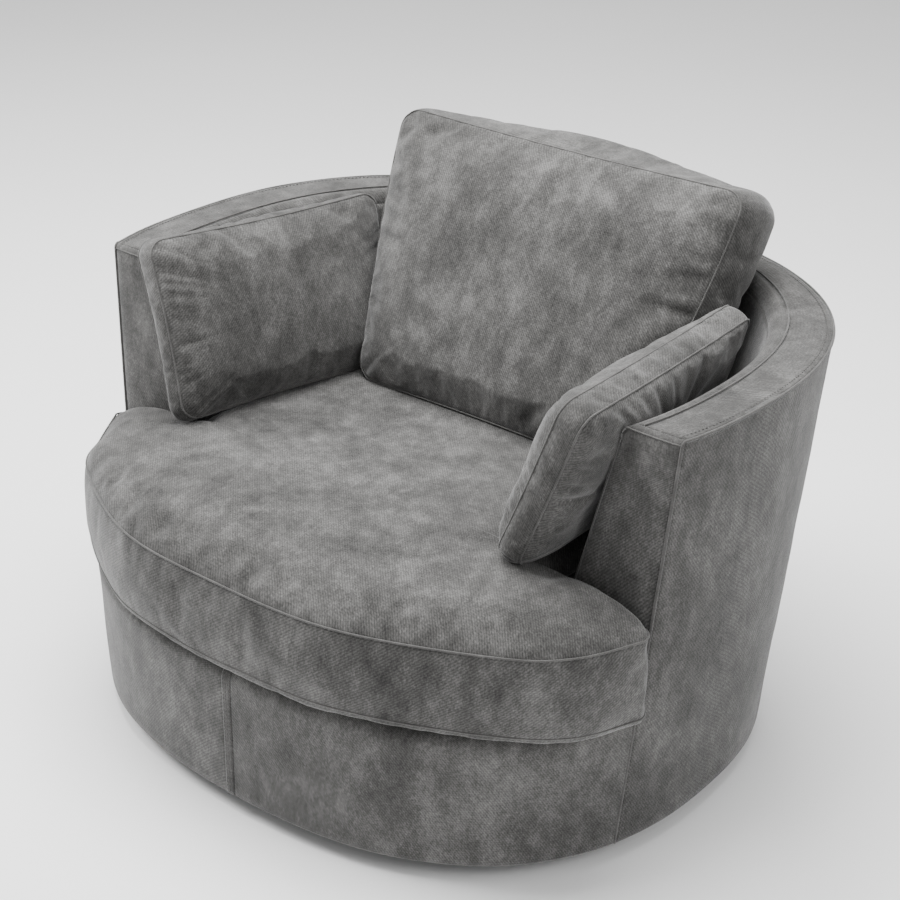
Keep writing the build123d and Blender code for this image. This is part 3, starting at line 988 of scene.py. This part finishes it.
    def make_arm_seam(self, side: Side) -> bpy.types.Object:
        """Build the thin seam across an arm front's top and down its inner edge.

        Args:
            side: Which arm.

        Returns:
            The seam.
        """
        across, down = 20, 59
        seam_pillow = 0.0022
        above_deck = 0.01
        line = []
        top = self.rim_z - self.nose * 0.9
        outer, inner = self.arm_edges(top)
        for k in range(across + 1):
            x = outer + (inner - outer) * k / across
            pillow = seam_pillow * (1 - math.exp(-min(outer - x, x - inner) / self.pillow_edge))
            line.append(Vector((x, self.arm_front(top) + self.nose_back(top) + 0.0006 - pillow, top)))
        for k in range(1, down + 1):
            z = top - (top - self.deck_z - above_deck) * k / down
            _, inner = self.arm_edges(z)
            line.append(Vector((inner - 0.0002, self.arm_front(z) + 0.0016, z)))
        line = [Vector((p.x * side.value, p.y, p.z)) for p in line]
        return tube("arm_front_seam_" + side.name.lower(), line, self.arm_seam, self.body)

    def make_centre_seam(self) -> list[bpy.types.Object]:
        """Build the flat stitched seam up the middle of the base.

        Returns:
            The folded strip and its three rows of stitches.
        """
        low = self.hem_z + 0.003
        steps = 24
        strip_lift, strip_sink = 0.0011, 0.0004
        knee = self.deck_z - self.shoulder
        climb = [(0.0, low + (knee - self.hem_z - 0.003) * k / steps) for k in range(steps + 1)]
        climb += self.shoulder_profile(6)
        rows = len(climb) - 1

        def surface(u: float, v: float) -> Vector:
            """Give a place on the strip.

            Args:
                u: Share from its left edge to its right one.
                v: Share from the hem up.

            Returns:
                The place.
            """
            inset, z = climb[round(v * rows)]
            across = (u - 0.5) * 2
            lift = strip_lift * (1 - across ** 6) - strip_sink
            return Vector((across * self.centre_seam_half, -self.outer_plan(z).front + inset - lift, z))

        made = [sheet("centre_seam", 10, rows, surface, self.body, self.centre_seam_thickness)]
        for word, share in (("left", 0.2), ("middle", 0.5), ("right", 0.8)):
            row = [surface(share, k / rows) for k in range(rows + 1)]
            outward = [Vector((0, -1, 0))] * len(row)
            made.append(stitches("centre_stitching_" + word, row, outward, self.body))
        return made

    def build(self) -> None:
        """Build every piece of the tub."""
        pieces = [self.make_wrap(), self.make_rim(), self.make_lining()]
        for side in Side:
            pieces.append(self.make_arm_front(side))
            pieces.append(self.make_base_front(side))
        pieces += self.make_seams()
        for piece in pieces:
            LOG.info("tub piece %s", piece.name)


# Loose cushions


@dataclass
class Cushion:
    """Boxed cushion: two crowned panels and a boxing between their seams.

    A panel is a square whose sides are numbered 0 to 3 from the low edge, anticlockwise.
    Eight values run round it from the first corner: corner, side, corner, side and so on.
    """

    name: str
    body: str
    nodes: tuple[str, ...]
    placement: Matrix
    outline: Callable[[float, float], Point]
    centre: Callable[[float], Point]
    boxing: float
    crown_near: float
    crown_far: float
    grid: int
    rows: int
    fill: float
    bulges: Sequence[float]
    gathers: Sequence[float]
    perimeter: float
    growth: float
    pressure: float
    cap: float
    fullness: tuple[float, float, float, float] = (4.0, 4.0, 4.0, 4.0)
    seam_wave: float = 0.0
    wave_length: float = 0.09
    gather_pitch: float = 0.021
    gather_reach: float = 0.030
    gather_start: float = 0.004
    boxing_gather: float = 0.45
    settle: Callable[[Vector], Vector] | None = None
    seam_radius: float = 0.0015
    far_seam: float = 1.0
    steps: int = 20

    @staticmethod
    def turn_at(u: float, v: float) -> float:
        """Give the place round the square, 0 to 4, that a point looks to.

        Args:
            u: Across, from -1 to 1.
            v: Along, from -1 to 1.

        Returns:
            The side's number and the share of that side.
        """
        ring = max(abs(u), abs(v), 1e-6)
        u, v = u / ring, v / ring
        if abs(v) >= abs(u):
            turn = (u + 1) / 2 if v < 0 else 2 + (1 - u) / 2
        else:
            turn = 1 + (v + 1) / 2 if u > 0 else 3 + (1 - v) / 2
        return turn % 4

    @staticmethod
    def edge_at(turn: float) -> Point:
        """Give the square's edge at a place round it.

        Args:
            turn: Place round the square, 0 to 4.

        Returns:
            Across and along, from -1 to 1.
        """
        part, share = int(turn) % 4, turn - int(turn)
        step = 2 * share - 1
        return ((step, -1.0), (1.0, step), (-step, 1.0), (-1.0, -step))[part]

    @staticmethod
    def round_values(values: Sequence[float], turn: float) -> float:
        """Blend eight values round the square.

        Args:
            values: Values at corners and sides by turns.
            turn: Place round the square, 0 to 4.

        Returns:
            The value there.
        """
        part = int(turn * 2)
        share = 0.5 - 0.5 * math.cos(math.pi * (turn * 2 - part))
        return values[part % 8] + (values[(part + 1) % 8] - values[part % 8]) * share

    def gathering(self, turn: float, row: float) -> float:
        """Give how deep a fold is where the seam draws the cloth up.

        Args:
            turn: Place round the square, 0 to 4.
            row: Which of the two seams.

        Returns:
            0 between folds to 1 in a fold.
        """
        place = turn / 4 * self.perimeter / self.gather_pitch
        fold = noise.noise(Vector((place, row * 7.3 + len(self.name), 0.5)))
        strength = 0.5 + noise.noise(Vector((place / 6, row * 3.1, len(self.name) + 0.5)))
        return max(0.0, 0.5 + fold) ** 2 * min(1.0, max(0.15, strength))

    def flat_place(self, u: float, v: float, depth: float) -> Vector:
        """Give a place in the cushion's own frame.

        Args:
            u: Across, from -1 to 1.
            v: Along, from -1 to 1.
            depth: Share of the boxing, from the near seam to the far one.

        Returns:
            The place before stuffing.
        """
        ring = max(abs(u), abs(v), 1e-6)
        turn = self.turn_at(u, v)
        x, y = self.outline(turn, depth)
        cx, cy = self.centre(depth)
        reach = math.hypot(x - cx, y - cy)
        belly = max(0.0, math.sin(math.pi * depth))
        gather = self.round_values(self.gathers, turn)
        swell = self.round_values(self.bulges, turn) * belly ** 0.8
        swell -= gather * self.boxing_gather * belly * self.gathering(turn, 2.0)
        stretch = ring * (1 + swell / reach)
        walked = turn / 4 * self.perimeter
        wave = self.seam_wave * depth * noise.noise(Vector((walked / self.wave_length, 4.2, 0.3)))
        z = wave - self.boxing * depth
        if ring < 1:
            away = (1 - ring) * reach
            across = self.fullness[1 if u > 0 else 3]
            along = self.fullness[2 if v > 0 else 0]
            rise = math.sqrt((1 - abs(u) ** across) * (1 - abs(v) ** along))
            fold = math.exp(-away / self.gather_reach) * (1 - math.exp(-away / self.gather_start))
            fold *= gather * self.gathering(turn, depth)
            z += self.crown_near * rise - fold if depth < 0.5 else fold - self.crown_far * rise
        return Vector((cx + (x - cx) * stretch, cy + (y - cy) * stretch, z))

    def shell(self) -> bmesh.types.BMesh:
        """Sew the two panels to the boxing.

        Returns:
            A closed mesh with u, v and depth as its places.
        """
        bm = bmesh.new()
        bmesh.ops.create_grid(bm, x_segments=self.grid, y_segments=self.grid, size=1.0)
        rim = [edge for edge in bm.edges if edge.is_boundary]
        for _ in range(self.rows):
            new = bmesh.ops.extrude_edge_only(bm, edges=rim)["geom"]
            verts = [item for item in new if isinstance(item, bmesh.types.BMVert)]
            bmesh.ops.translate(bm, verts=verts, vec=(0, 0, -1 / self.rows))
            rim = [item for item in new if isinstance(item, bmesh.types.BMEdge) and item.is_boundary]
        far = bmesh.ops.create_grid(bm, x_segments=self.grid, y_segments=self.grid, size=1.0,
                                    matrix=Matrix.Translation((0, 0, -1)))
        faces = {face for vert in far["verts"] for face in vert.link_faces}
        bmesh.ops.reverse_faces(bm, faces=list(faces))
        bmesh.ops.remove_doubles(bm, verts=bm.verts[:], dist=1e-5)
        return bm

    def lay_cloth(self, bm: bmesh.types.BMesh) -> None:
        """Map the cloth of panels and boxing, in metres.

        Args:
            bm: Mesh with u, v and depth as its places.
        """
        cloth = bm.loops.layers.uv.new("cloth")
        for face in bm.faces:
            middle = face.calc_center_median()
            on_panel = abs(middle.z) < 1e-4 or abs(middle.z + 1) < 1e-4
            centre_turn = self.turn_at(middle.x, middle.y)
            for loop in face.loops:
                u, v, depth = loop.vert.co.x, loop.vert.co.y, -loop.vert.co.z
                if on_panel:
                    place = self.flat_place(u, v, depth)
                    loop[cloth].uv = place.x, place.y
                    continue
                turn = self.turn_at(u, v)
                turn += 4 * round((centre_turn - turn) / 4)
                loop[cloth].uv = turn / 4 * self.perimeter, depth * self.boxing

    def make(self) -> bpy.types.Object:
        """Build, stuff and dress the cushion.

        Returns:
            The cushion.
        """
        bm = self.shell()
        self.lay_cloth(bm)
        seam: list[int] = []
        bm.verts.ensure_lookup_table()
        for vert in bm.verts:
            u, v, depth = vert.co.x, vert.co.y, -vert.co.z
            at_edge = max(abs(u), abs(v)) > 1 - 1e-6
            if at_edge and (depth < 1e-4 or depth > self.far_seam - 1e-4):
                seam.append(vert.index)
            vert.co = self.placement @ self.flat_place(u, v, min(max(depth, 0.0), 1.0))
        bmesh.ops.recalc_face_normals(bm, faces=bm.faces[:])
        piece = finish_piece(bm, self.name, VELVET, self.body)
        self.stuff(piece, seam)
        if self.settle is not None:
            for vert in piece.data.vertices:
                vert.co = self.settle(vert.co.copy())
        soft = piece.modifiers.new("soft", "SUBSURF")
        soft.levels = soft.render_levels = 1
        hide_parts(*self.nodes)
        return piece

    def stuff(self, piece: bpy.types.Object, seam: list[int]) -> None:
        """Swell the cloth between its held seams.

        Args:
            piece: The cushion.
            seam: Vertices that the seams hold.
        """
        start = [vert.co.copy() for vert in piece.data.vertices]
        group = piece.vertex_groups.new(name="seam")
        group.add(seam, 1.0, "REPLACE")
        cloth = piece.modifiers.new("stuffing", "CLOTH")
        settings = cloth.settings
        settings.quality = 5
        settings.mass = 0.4
        settings.tension_stiffness = settings.compression_stiffness = 18.0
        settings.shear_stiffness = 8.0
        settings.bending_stiffness = 2.5
        settings.use_pressure = True
        settings.uniform_pressure_force = self.pressure
        settings.shrink_min = -self.growth
        settings.vertex_group_mass = "seam"
        settings.pin_stiffness = 1.0
        settings.effector_weights.gravity = 0.0
        scene = bpy.context.scene
        for step in range(1, self.steps + 1):
            scene.frame_set(step)
        graph = bpy.context.evaluated_depsgraph_get()
        shaped = piece.evaluated_get(graph).data
        moved = [vert.co.copy() for vert in shaped.vertices]
        piece.modifiers.remove(cloth)
        scene.frame_set(1)
        for vert, old, new in zip(piece.data.vertices, start, moved):
            way = new - old
            if way.length > self.cap:
                way *= self.cap / way.length
            vert.co = old + way

    def make_seams(self) -> list[bpy.types.Object]:
        """Build the ridge along both seams.

        Returns:
            The near and far ridge.
        """
        made = []
        for depth, word in ((0.0, "near"), (self.far_seam, "far")):
            loop = []
            count = 4 * self.grid
            for k in range(count):
                turn = 4 * k / count
                place = self.flat_place(*self.edge_at(turn), depth)
                cx, cy = self.centre(depth)
                out = Vector((place.x - cx, place.y - cy, 0)).normalized()
                loop.append(self.placement @ (place + out * self.seam_radius * 0.1))
            if self.settle is not None:
                loop = [self.settle(place) for place in loop]
            made.append(tube(f"{self.name}_{word}_seam", loop, self.seam_radius, self.body, closed=True))
        return made

    def build(self) -> None:
        """Build the cushion and its seams."""
        for piece in (self.make(), *self.make_seams()):
            LOG.info("cushion piece %s", piece.name)


def along_line(points: Sequence[Point], share: float) -> Point:
    """Walk along a chain of points.

    Args:
        points: The chain.
        share: Share of its length.

    Returns:
        The place.
    """
    steps = [math.dist(a, b) for a, b in zip(points, points[1:])]
    left = share * sum(steps)
    for (a, b), step in zip(zip(points, points[1:]), steps):
        if left <= step or b is points[-1]:
            part = min(1.0, left / step)
            return a[0] + (b[0] - a[0]) * part, a[1] + (b[1] - a[1]) * part
        left -= step
    return points[-1]


def arc(start: Point, middle: Point, end: Point, count: int) -> list[Point]:
    """Give points of the circle through three.

    Args:
        start: First point.
        middle: A point between.
        end: Last point.
        count: Number of steps.

    Returns:
        The points, both ends with them.
    """
    (ax, ay), (bx, by), (cx, cy) = start, middle, end
    d = 2 * (ax * (by - cy) + bx * (cy - ay) + cx * (ay - by))
    a2, b2, c2 = ax * ax + ay * ay, bx * bx + by * by, cx * cx + cy * cy
    ux = (a2 * (by - cy) + b2 * (cy - ay) + c2 * (ay - by)) / d
    uy = (a2 * (cx - bx) + b2 * (ax - cx) + c2 * (bx - ax)) / d
    radius = math.dist((ux, uy), start)
    first = math.atan2(ay - uy, ax - ux)

    def turned(point: Point) -> float:
        """Give a point's angle past the first one."""
        return (math.atan2(point[1] - uy, point[0] - ux) - first) % (2 * math.pi)

    sweep = turned(end)
    if turned(middle) > sweep:
        sweep -= 2 * math.pi
    angles = [first + sweep * k / count for k in range(count + 1)]
    return [(ux + radius * math.cos(angle), uy + radius * math.sin(angle)) for angle in angles]


def smooth_line(points: Sequence[Point], count: int = 12) -> list[Point]:
    """Draw a smooth curve through points.

    Args:
        points: A point that only gives the first direction, then those on the curve.
        count: Steps between points.

    Returns:
        Points along the curve.
    """
    before, end = points[0], (2 * points[-1][0] - points[-2][0], 2 * points[-1][1] - points[-2][1])
    chain = [before, *points[1:], end]
    line = [points[1]]
    for a, b, c, d in zip(chain, chain[1:], chain[2:], chain[3:]):
        for k in range(1, count + 1):
            t = k / count
            line.append(tuple(
                q + t / 2 * (r - p + t * (2 * p - 5 * q + 4 * r - s + t * (3 * q - p - 3 * r + s)))
                for p, q, r, s in zip(a, b, c, d)))
    return line


@dataclass
class SeatCushion:
    """T-shaped seat cushion that passes in front of both arms."""

    tub: Tub
    low_seam: float = 0.2595
    boxing: float = 0.128
    crown: float = 0.043
    foot: float = 0.0085
    front: float = 0.479
    quarter: Point = (0.205, 0.463)
    corner_right: Point = (0.410, 0.378)
    corner_left: Point = (0.397, 0.367)
    ear_right: Point = (0.534, 0.222)
    ear_left: Point = (0.506, 0.212)
    swell_right: float = 0.022
    swell_left: float = 0.003
    draw_out: float = 0.007
    side_gap: float = 0.006
    arm_gap: float = 0.005
    middle: Point = (0.0, -0.212)
    border_inset: float = 0.036
    border_lift: float = 0.0006
    border_thickness: float = 0.0005
    border_start: float = 0.45

    def half(self, near: Point, ear: Point, swell: float) -> tuple[list[Point], list[Point]]:
        """Trace the right half of the outline.

        Args:
            near: Front corner.
            ear: Tip of the ear in front of the arm.
            swell: How far the front of the ear is bowed out.

        Returns:
            The front from the middle to the tip, and the side from the tip to the rear corner.
        """
        tub = self.tub
        ear_back = -tub.arm_front(tub.deck_z) + self.arm_gap
        plan = tub.inner_deck.grown(-self.side_gap)
        tip = (ear[0], -ear[1])
        corner = (near[0], -near[1])
        bulge = ((corner[0] + tip[0]) / 2 + swell * 0.8, (corner[1] + tip[1]) / 2 - swell * 0.6)
        quarter = (self.quarter[0], -self.quarter[1])
        front = smooth_line(((-quarter[0], quarter[1]), (0.0, -self.front), quarter, corner, bulge, tip))
        ear_end = (tip[0] - 0.016, -ear_back)
        ear_mid = (tip[0] - 0.004, tip[1] * 0.4 - ear_back * 0.6)
        waist_angle = plan.angle_at(-ear_back, tub.power)
        side = arc(tip, ear_mid, ear_end, 6)
        for k in range(40):
            side.append(plan.point(waist_angle + (math.pi / 4 - waist_angle) * k / 39, tub.power))
        return front, side

    def chains(self) -> tuple[list[Point], ...]:
        """Trace the outline's front, right side, rear and left side.

        Returns:
            Four chains of points.
        """
        plan = self.tub.inner_deck.grown(-self.side_gap)
        right_front, right_side = self.half(self.corner_right, self.ear_right, self.swell_right)
        left_front, left_side = self.half(self.corner_left, self.ear_left, self.swell_left)
        front = [(-x, y) for x, y in reversed(left_front)] + right_front[1:]
        rear = [plan.point(math.pi / 4 + math.pi / 2 * k / 40, self.tub.power) for k in range(41)]
        return front, right_side, rear, [(-x, y) for x, y in reversed(left_side)]

    def settle(self, place: Vector) -> Vector:
        """Keep the cushion on the deck, under its neighbours and between the arms.

        Args:
            place: A place on the stuffed cushion.

        Returns:
            The place where the cushion has room.
        """
        place.z = max(place.z, self.low_seam - self.foot)
        limit = self.low_seam + self.boxing + self.crown
        over = place.z - limit
        if over > 0:
            place.z = limit + over * min(1.0, max(0.0, (-0.02 - place.y) * 6))
        inner = self.tub.inner_plan(max(place.z, self.tub.deck_z)).grown(-0.003)
        if place.y > -0.19:
            depth = inner.rear if place.y > 0 else inner.front
            power = self.tub.power
            reach = (abs(place.x) / inner.half_width) ** power + (abs(place.y) / depth) ** power
            if reach > 1:
                shrink = reach ** (-1 / power)
                place.x *= shrink
                place.y *= shrink if place.y > 0 else 1.0
        return place

    def make_border(self) -> bpy.types.Object:
        """Build the band of cloth round the deck, that shows when the cushion is lifted out.

        Returns:
            The band.
        """
        tub = self.tub
        chains = SeatCushion(tub, side_gap=-0.003, arm_gap=0.0).chains()
        stop = tub.outer_plan(tub.deck_z).grown(-self.border_inset)
        level = tub.deck_z + self.border_lift

        def surface(u: float, v: float) -> Vector:
            """Give a place on the band.

            Args:
                u: Share of the way round the deck.
                v: Share from the inner edge to the outer one.

            Returns:
                The place, kept inside the base's rounded edge.
            """
            part = min(int(u * 4), 3)
            x, y = along_line(chains[part], u * 4 - part)
            middle_x, middle_y = self.middle
            share = self.border_start + (1 - self.border_start) * v
            x, y = middle_x + (x - middle_x) * share, middle_y + (y - middle_y) * share
            depth = stop.front + stop.centre if y < stop.centre else stop.rear - stop.centre
            reach = (abs(x) / stop.half_width) ** tub.power + (abs(y - stop.centre) / depth) ** tub.power
            shrink = min(1.0, reach ** (-1 / tub.power)) if reach > 0 else 1.0
            return Vector((x * shrink, stop.centre + (y - stop.centre) * shrink, level))

        piece = sheet("deck_border", 240, 10, surface, tub.body, self.border_thickness, flip=True)
        LOG.info("deck piece %s", piece.name)
        return piece

    def cushion(self) -> Cushion:
        """Set up the cushion.

        Returns:
            The boxed cushion, near panel up.
        """
        chains = self.chains()

        def outline(turn: float, depth: float) -> Point:
            """Give the outline, drawn out at the foot of the front.

            Args:
                turn: Place round the cushion, 0 to 4.
                depth: Share of the boxing.

            Returns:
                The place in plan.
            """
            part = min(int(turn), 3)
            x, y = along_line(chains[part], turn - part)
            return x, y - self.draw_out * depth * max(0.0, (-y - 0.24) / 0.24)

        return Cushion(
            name="seat_cushion", body="seat_cushion", nodes=("seat_cushion_cover", "seat_cushion_core"),
            placement=Matrix.Translation((0, 0, self.low_seam + self.boxing)), outline=outline,
            centre=lambda _depth: self.middle, boxing=self.boxing, crown_near=self.crown * 1.12,
            crown_far=self.foot, grid=112, rows=16, fill=0.85,
            bulges=(0.002, 0.005, 0.002, 0.0, 0.0, 0.0, 0.0, 0.0),
            gathers=(0.002, 0.0055, 0.002, 0.0, 0.0, 0.0, 0.0, 0.0),
            perimeter=3.6, growth=0.010, pressure=1.0, cap=0.006, fullness=(4.0, 9.0, 9.0, 9.0),
            seam_wave=0.006, gather_pitch=0.030, settle=self.settle, far_seam=0.9375)


def bowed_side(start: Point, end: Point, share: float, draw: float) -> Point:
    """Walk along a cushion's side, drawn in at its middle.

    Args:
        start: First corner.
        end: Last corner.
        share: Share of the way.
        draw: How far the middle is drawn in, to the left of the walk.

    Returns:
        The place.
    """
    dx, dy = end[0] - start[0], end[1] - start[1]
    length = math.hypot(dx, dy)
    sink = draw * math.sin(math.pi * share)
    return start[0] + dx * share - dy / length * sink, start[1] + dy * share + dx / length * sink


def round_corners(corners: Sequence[Point], turn: float, draw: float, corner: float) -> Point:
    """Walk round a four-sided outline with drawn-in sides and rounded corners.

    Args:
        corners: The four corners, anticlockwise from low left.
        turn: Place on the walk, 0 to 4.
        draw: How far each side is drawn in.
        corner: Radius of the corners.

    Returns:
        The place.
    """
    part = int(turn) % 4
    share = turn - int(turn)
    start, end = corners[part], corners[(part + 1) % 4]
    place = bowed_side(start, end, share, draw)
    length = math.dist(start, end)
    for near, corner_at, other in ((share * length, start, corners[part - 1]),
                                   ((1 - share) * length, end, corners[(part + 2) % 4])):
        if near < corner:
            along_in = Vector((place[0] - corner_at[0], place[1] - corner_at[1]))
            inward = Vector(other) - Vector(corner_at)
            pull = (1 - near / corner) ** 2 * corner * 0.29
            onward = Vector(end if corner_at is start else start) - Vector(corner_at)
            mix = inward.normalized() + onward.normalized()
            return corner_at[0] + along_in.x + mix.x * pull, corner_at[1] + along_in.y + mix.y * pull
    return place


@dataclass
class BackCushion:
    """Leaning back cushion, narrower at its foot and at its rear."""

    lean: float = math.radians(29.7)
    foot_y: float = 0.075
    foot_z: float = 0.4313
    height: float = 0.438
    top_half: float = 0.325
    bottom_half: float = 0.243
    fan_right: float = 2.4
    fan_left: float = 1.5
    top_taper: float = 0.024
    bottom_taper: float = 0.052
    boxing: float = 0.145
    side_draw: float = 0.004
    corner: float = 0.036

    def corners(self, depth: float) -> list[Point]:
        """Give the four corners at a share of the boxing.

        Args:
            depth: Share from the front seam to the rear one.

        Returns:
            Corners, anticlockwise from low left.
        """
        low = self.boxing * depth * math.tan(self.lean)
        top = self.top_half - self.top_taper * depth
        bottom = self.bottom_half - self.bottom_taper * depth
        return [(-bottom, low), (bottom, low), (top, self.height), (-top, self.height)]

    def settle(self, place: Vector) -> Vector:
        """Keep the cushion on the seat.

        Args:
            place: A place on the stuffed cushion.

        Returns:
            The place, no lower than the foot.
        """
        place.z = max(place.z, self.foot_z)
        return place

    def cushion(self) -> Cushion:
        """Set up the cushion.

        Returns:
            The boxed cushion, near panel to the front.
        """
        forward = Vector((0, -math.cos(self.lean), math.sin(self.lean)))
        up = Vector((0, math.sin(self.lean), math.cos(self.lean)))
        placement = Matrix.Translation((0, self.foot_y, self.foot_z)) @ Matrix(
            ((1, up.x, forward.x, 0), (0, up.y, forward.y, 0), (0, up.z, forward.z, 0), (0, 0, 0, 1)))

        def outline(turn: float, depth: float) -> Point:
            """Give the outline, fanned out towards the top.

            Args:
                turn: Place round the cushion, 0 to 4.
                depth: Share of the boxing.

            Returns:
                The place on the panel.
            """
            corners = self.corners(depth)
            x, y = round_corners(corners, turn, self.side_draw, self.corner)
            low, high = corners[0][1], corners[2][1]
            rise = min(1.0, max(0.0, (y - low) / (high - low)))
            bottom, top = corners[1][0], corners[2][0]
            straight = bottom + (top - bottom) * rise
            fan = self.fan_right if x > 0 else self.fan_left
            fanned = bottom + (top - bottom) * (1 - (1 - rise) ** fan)
            return x * fanned / straight, y

        def centre(depth: float) -> Point:
            """Give the middle of the panel at a share of the boxing."""
            corners = self.corners(depth)
            return 0.0, (corners[0][1] + corners[2][1]) / 2

        return Cushion(
            name="back_cushion", body="back_cushion", nodes=("back_cushion_cover", "back_cushion_core"),
            placement=placement, outline=outline, centre=centre, boxing=self.boxing, crown_near=0.034,
            crown_far=0.012, grid=104, rows=24, fill=0.7,
            bulges=(0.002, 0.0, 0.002, 0.027, 0.024, 0.038, 0.026, 0.020),
            gathers=(0.004, 0.0, 0.005, 0.010, 0.009, 0.0045, 0.006, 0.007),
            perimeter=2.0, growth=0.012, pressure=1.2, cap=0.007, settle=self.settle, seam_radius=0.0012)


@dataclass
class SideCushion:
    """Side cushion that leans on an arm's inside."""

    side: Side
    length: float
    height: float
    x: float
    y: float
    z: float
    yaw: float
    lean: float
    pitch: float
    boxing: float = 0.036
    side_draw: float = 0.005
    corner: float = 0.030

    def placement(self) -> Matrix:
        """Give the right cushion's frame: X to the front, Y up, Z to the sitter.

        Returns:
            The frame of the seam nearest the sitter.
        """
        yaw, lean, pitch = (math.radians(angle) for angle in (self.yaw, self.lean, self.pitch))
        turn = Matrix.Rotation(yaw, 4, "Z") @ Matrix.Rotation(lean, 4, "Y") @ Matrix.Rotation(-pitch, 4, "X")
        lie = Matrix(((0, 0, -1, 0), (-1, 0, 0, 0), (0, 1, 0, 0), (0, 0, 0, 1)))
        right = Matrix.Translation((self.x, self.y, self.z)) @ turn @ lie
        return right @ Matrix.Translation((0, 0, self.boxing / 2))

    def cushion(self) -> Cushion:
        """Set up the cushion.

        Returns:
            The boxed cushion, near panel to the sitter.
        """
        half, tall = self.length / 2, self.height / 2
        corners = [(-half, -tall), (half, -tall), (half, tall), (-half, tall)]
        word = self.side.name.lower()
        placement = self.placement()
        if self.side is Side.LEFT:
            placement = Matrix.Diagonal((-1, 1, 1, 1)) @ placement

        def outline(turn: float, _depth: float) -> Point:
            """Give the outline, the same at every share of the boxing."""
            return round_corners(corners, turn, self.side_draw, self.corner)

        return Cushion(
            name=f"{word}_side_cushion", body=f"{word}_side_cushion",
            nodes=(f"{word}_side_cushion_cover", f"{word}_side_cushion_core"), placement=placement,
            outline=outline, centre=lambda _depth: (0.0, 0.0), boxing=self.boxing, crown_near=0.032,
            crown_far=0.030, grid=84, rows=8, fill=0.65,
            bulges=(0.001, 0.003, 0.009, 0.006, 0.004, 0.006, 0.004, 0.002),
            gathers=(0.003, 0.004, 0.009, 0.010, 0.009, 0.007, 0.005, 0.003),
            perimeter=1.45, growth=0.012, pressure=1.2, cap=0.006, fullness=(4.0, 7.0, 5.0, 1.5),
            gather_pitch=0.018, seam_radius=0.0014)


LEFT_CUSHION = SideCushion(Side.LEFT, length=0.440, height=0.277, x=0.340, y=-0.007, z=0.559, yaw=7.5,
                           lean=18.6, pitch=3.0)
RIGHT_CUSHION = SideCushion(Side.RIGHT, length=0.462, height=0.262, x=0.348, y=-0.012, z=0.5555, yaw=4.4,
                            lean=21.0, pitch=1.9)


# Studio


class Studio:
    """Floor, light and camera."""

    def make_floor(self) -> None:
        """Lay a pale floor."""
        bm = bmesh.new()
        bmesh.ops.create_grid(bm, x_segments=2, y_segments=2, size=9.0)
        mesh = bpy.data.meshes.new("floor")
        bm.to_mesh(mesh)
        bm.free()
        floor = bpy.data.objects.new("floor", mesh)
        bpy.context.scene.collection.objects.link(floor)
        sketch = NodeSketch("pale_floor")
        sketch.shader.inputs["Roughness"].default_value = 0.8
        where = sketch.place()
        cloud = sketch.node("TexNoise", Scale=1.5, Detail=3.0)
        sketch.link(where, "Vector", cloud, "Vector")
        colour = sketch.ramp(cloud, "Fac", ((0.3, (0.96, 0.96, 0.96)), (0.7, (0.98, 0.98, 0.98))))
        mesh.materials.append(sketch.dress(colour, sketch.bump(cloud, "Fac", 0.0002)))

    def make_light(self) -> None:
        """Hang soft lights and a bright room."""
        world = bpy.data.worlds.new("studio")
        bpy.context.scene.world = world
        world.use_nodes = True
        back = world.node_tree.nodes["Background"]
        back.inputs["Color"].default_value = (1.0, 1.0, 1.0, 1.0)
        back.inputs["Strength"].default_value = 0.60
        aim = (0, 0, 0.4)
        self.lamp("top_light", (-0.3, 0.2, 3.2), aim, 2.2, 215.0)
        self.lamp("left_light", (-2.7, -1.4, 3.2), aim, 1.5, 165.0)
        self.lamp("right_light", (3.1, 0.1, 2.1), aim, 1.6, 40.0)

    def lamp(self, name: str, place: Sequence[float], aim: Sequence[float], size: float,
             power: float) -> None:
        """Hang one square light.

        Args:
            name: Name of the light.
            place: Where it hangs.
            aim: What it points at.
            size: Side of the square.
            power: Power in watts.
        """
        data = bpy.data.lights.new(name, "AREA")
        data.size = size
        data.energy = power
        lamp = bpy.data.objects.new(name, data)
        lamp.location = place
        lamp.rotation_euler = (Vector(aim) - Vector(place)).to_track_quat("-Z", "Y").to_euler()
        bpy.context.scene.collection.objects.link(lamp)

    def make_camera(self) -> None:
        """Set the camera where the photograph was taken from."""
        data = bpy.data.cameras.new("camera")
        data.sensor_width = 36.0
        data.lens = 79.62
        data.shift_x = 0.0083
        data.shift_y = 0.0523
        camera = bpy.data.objects.new("camera", data)
        place = Vector((1.7568, -2.0630, 1.7746))
        camera.location = place
        camera.rotation_euler = (Vector((0, 0, 0.3255)) - place).to_track_quat("-Z", "Y").to_euler()
        bpy.context.scene.collection.objects.link(camera)
        bpy.context.scene.camera = camera

    def build(self) -> None:
        """Build the studio."""
        self.make_camera()
        self.make_floor()
        self.make_light()


def dress_frame() -> None:
    """Give every carried-over node the finish of its slot."""
    slots = {part["node"]: part["material_slot"] for part in frame["record"]["subparts"]}
    for name, node in frame["nodes"].items():
        material = WARDROBE.get(SLOT_FINISH[slots[name]])
        node.data.materials.clear()
        node.data.materials.append(material)
        LOG.info("frame piece %s", name)


def main() -> None:
    """Build the chair and its studio."""
    logging.basicConfig(level=logging.INFO, format="%(name)s: %(message)s")
    Studio().build()
    dress_frame()
    tub = Tub()
    tub.build()
    seat = SeatCushion(tub)
    seat.make_border()
    seat.cushion().build()
    BackCushion().cushion().build()
    for cushion in (LEFT_CUSHION, RIGHT_CUSHION):
        cushion.cushion().build()


if __name__ == "__main__":
    main()
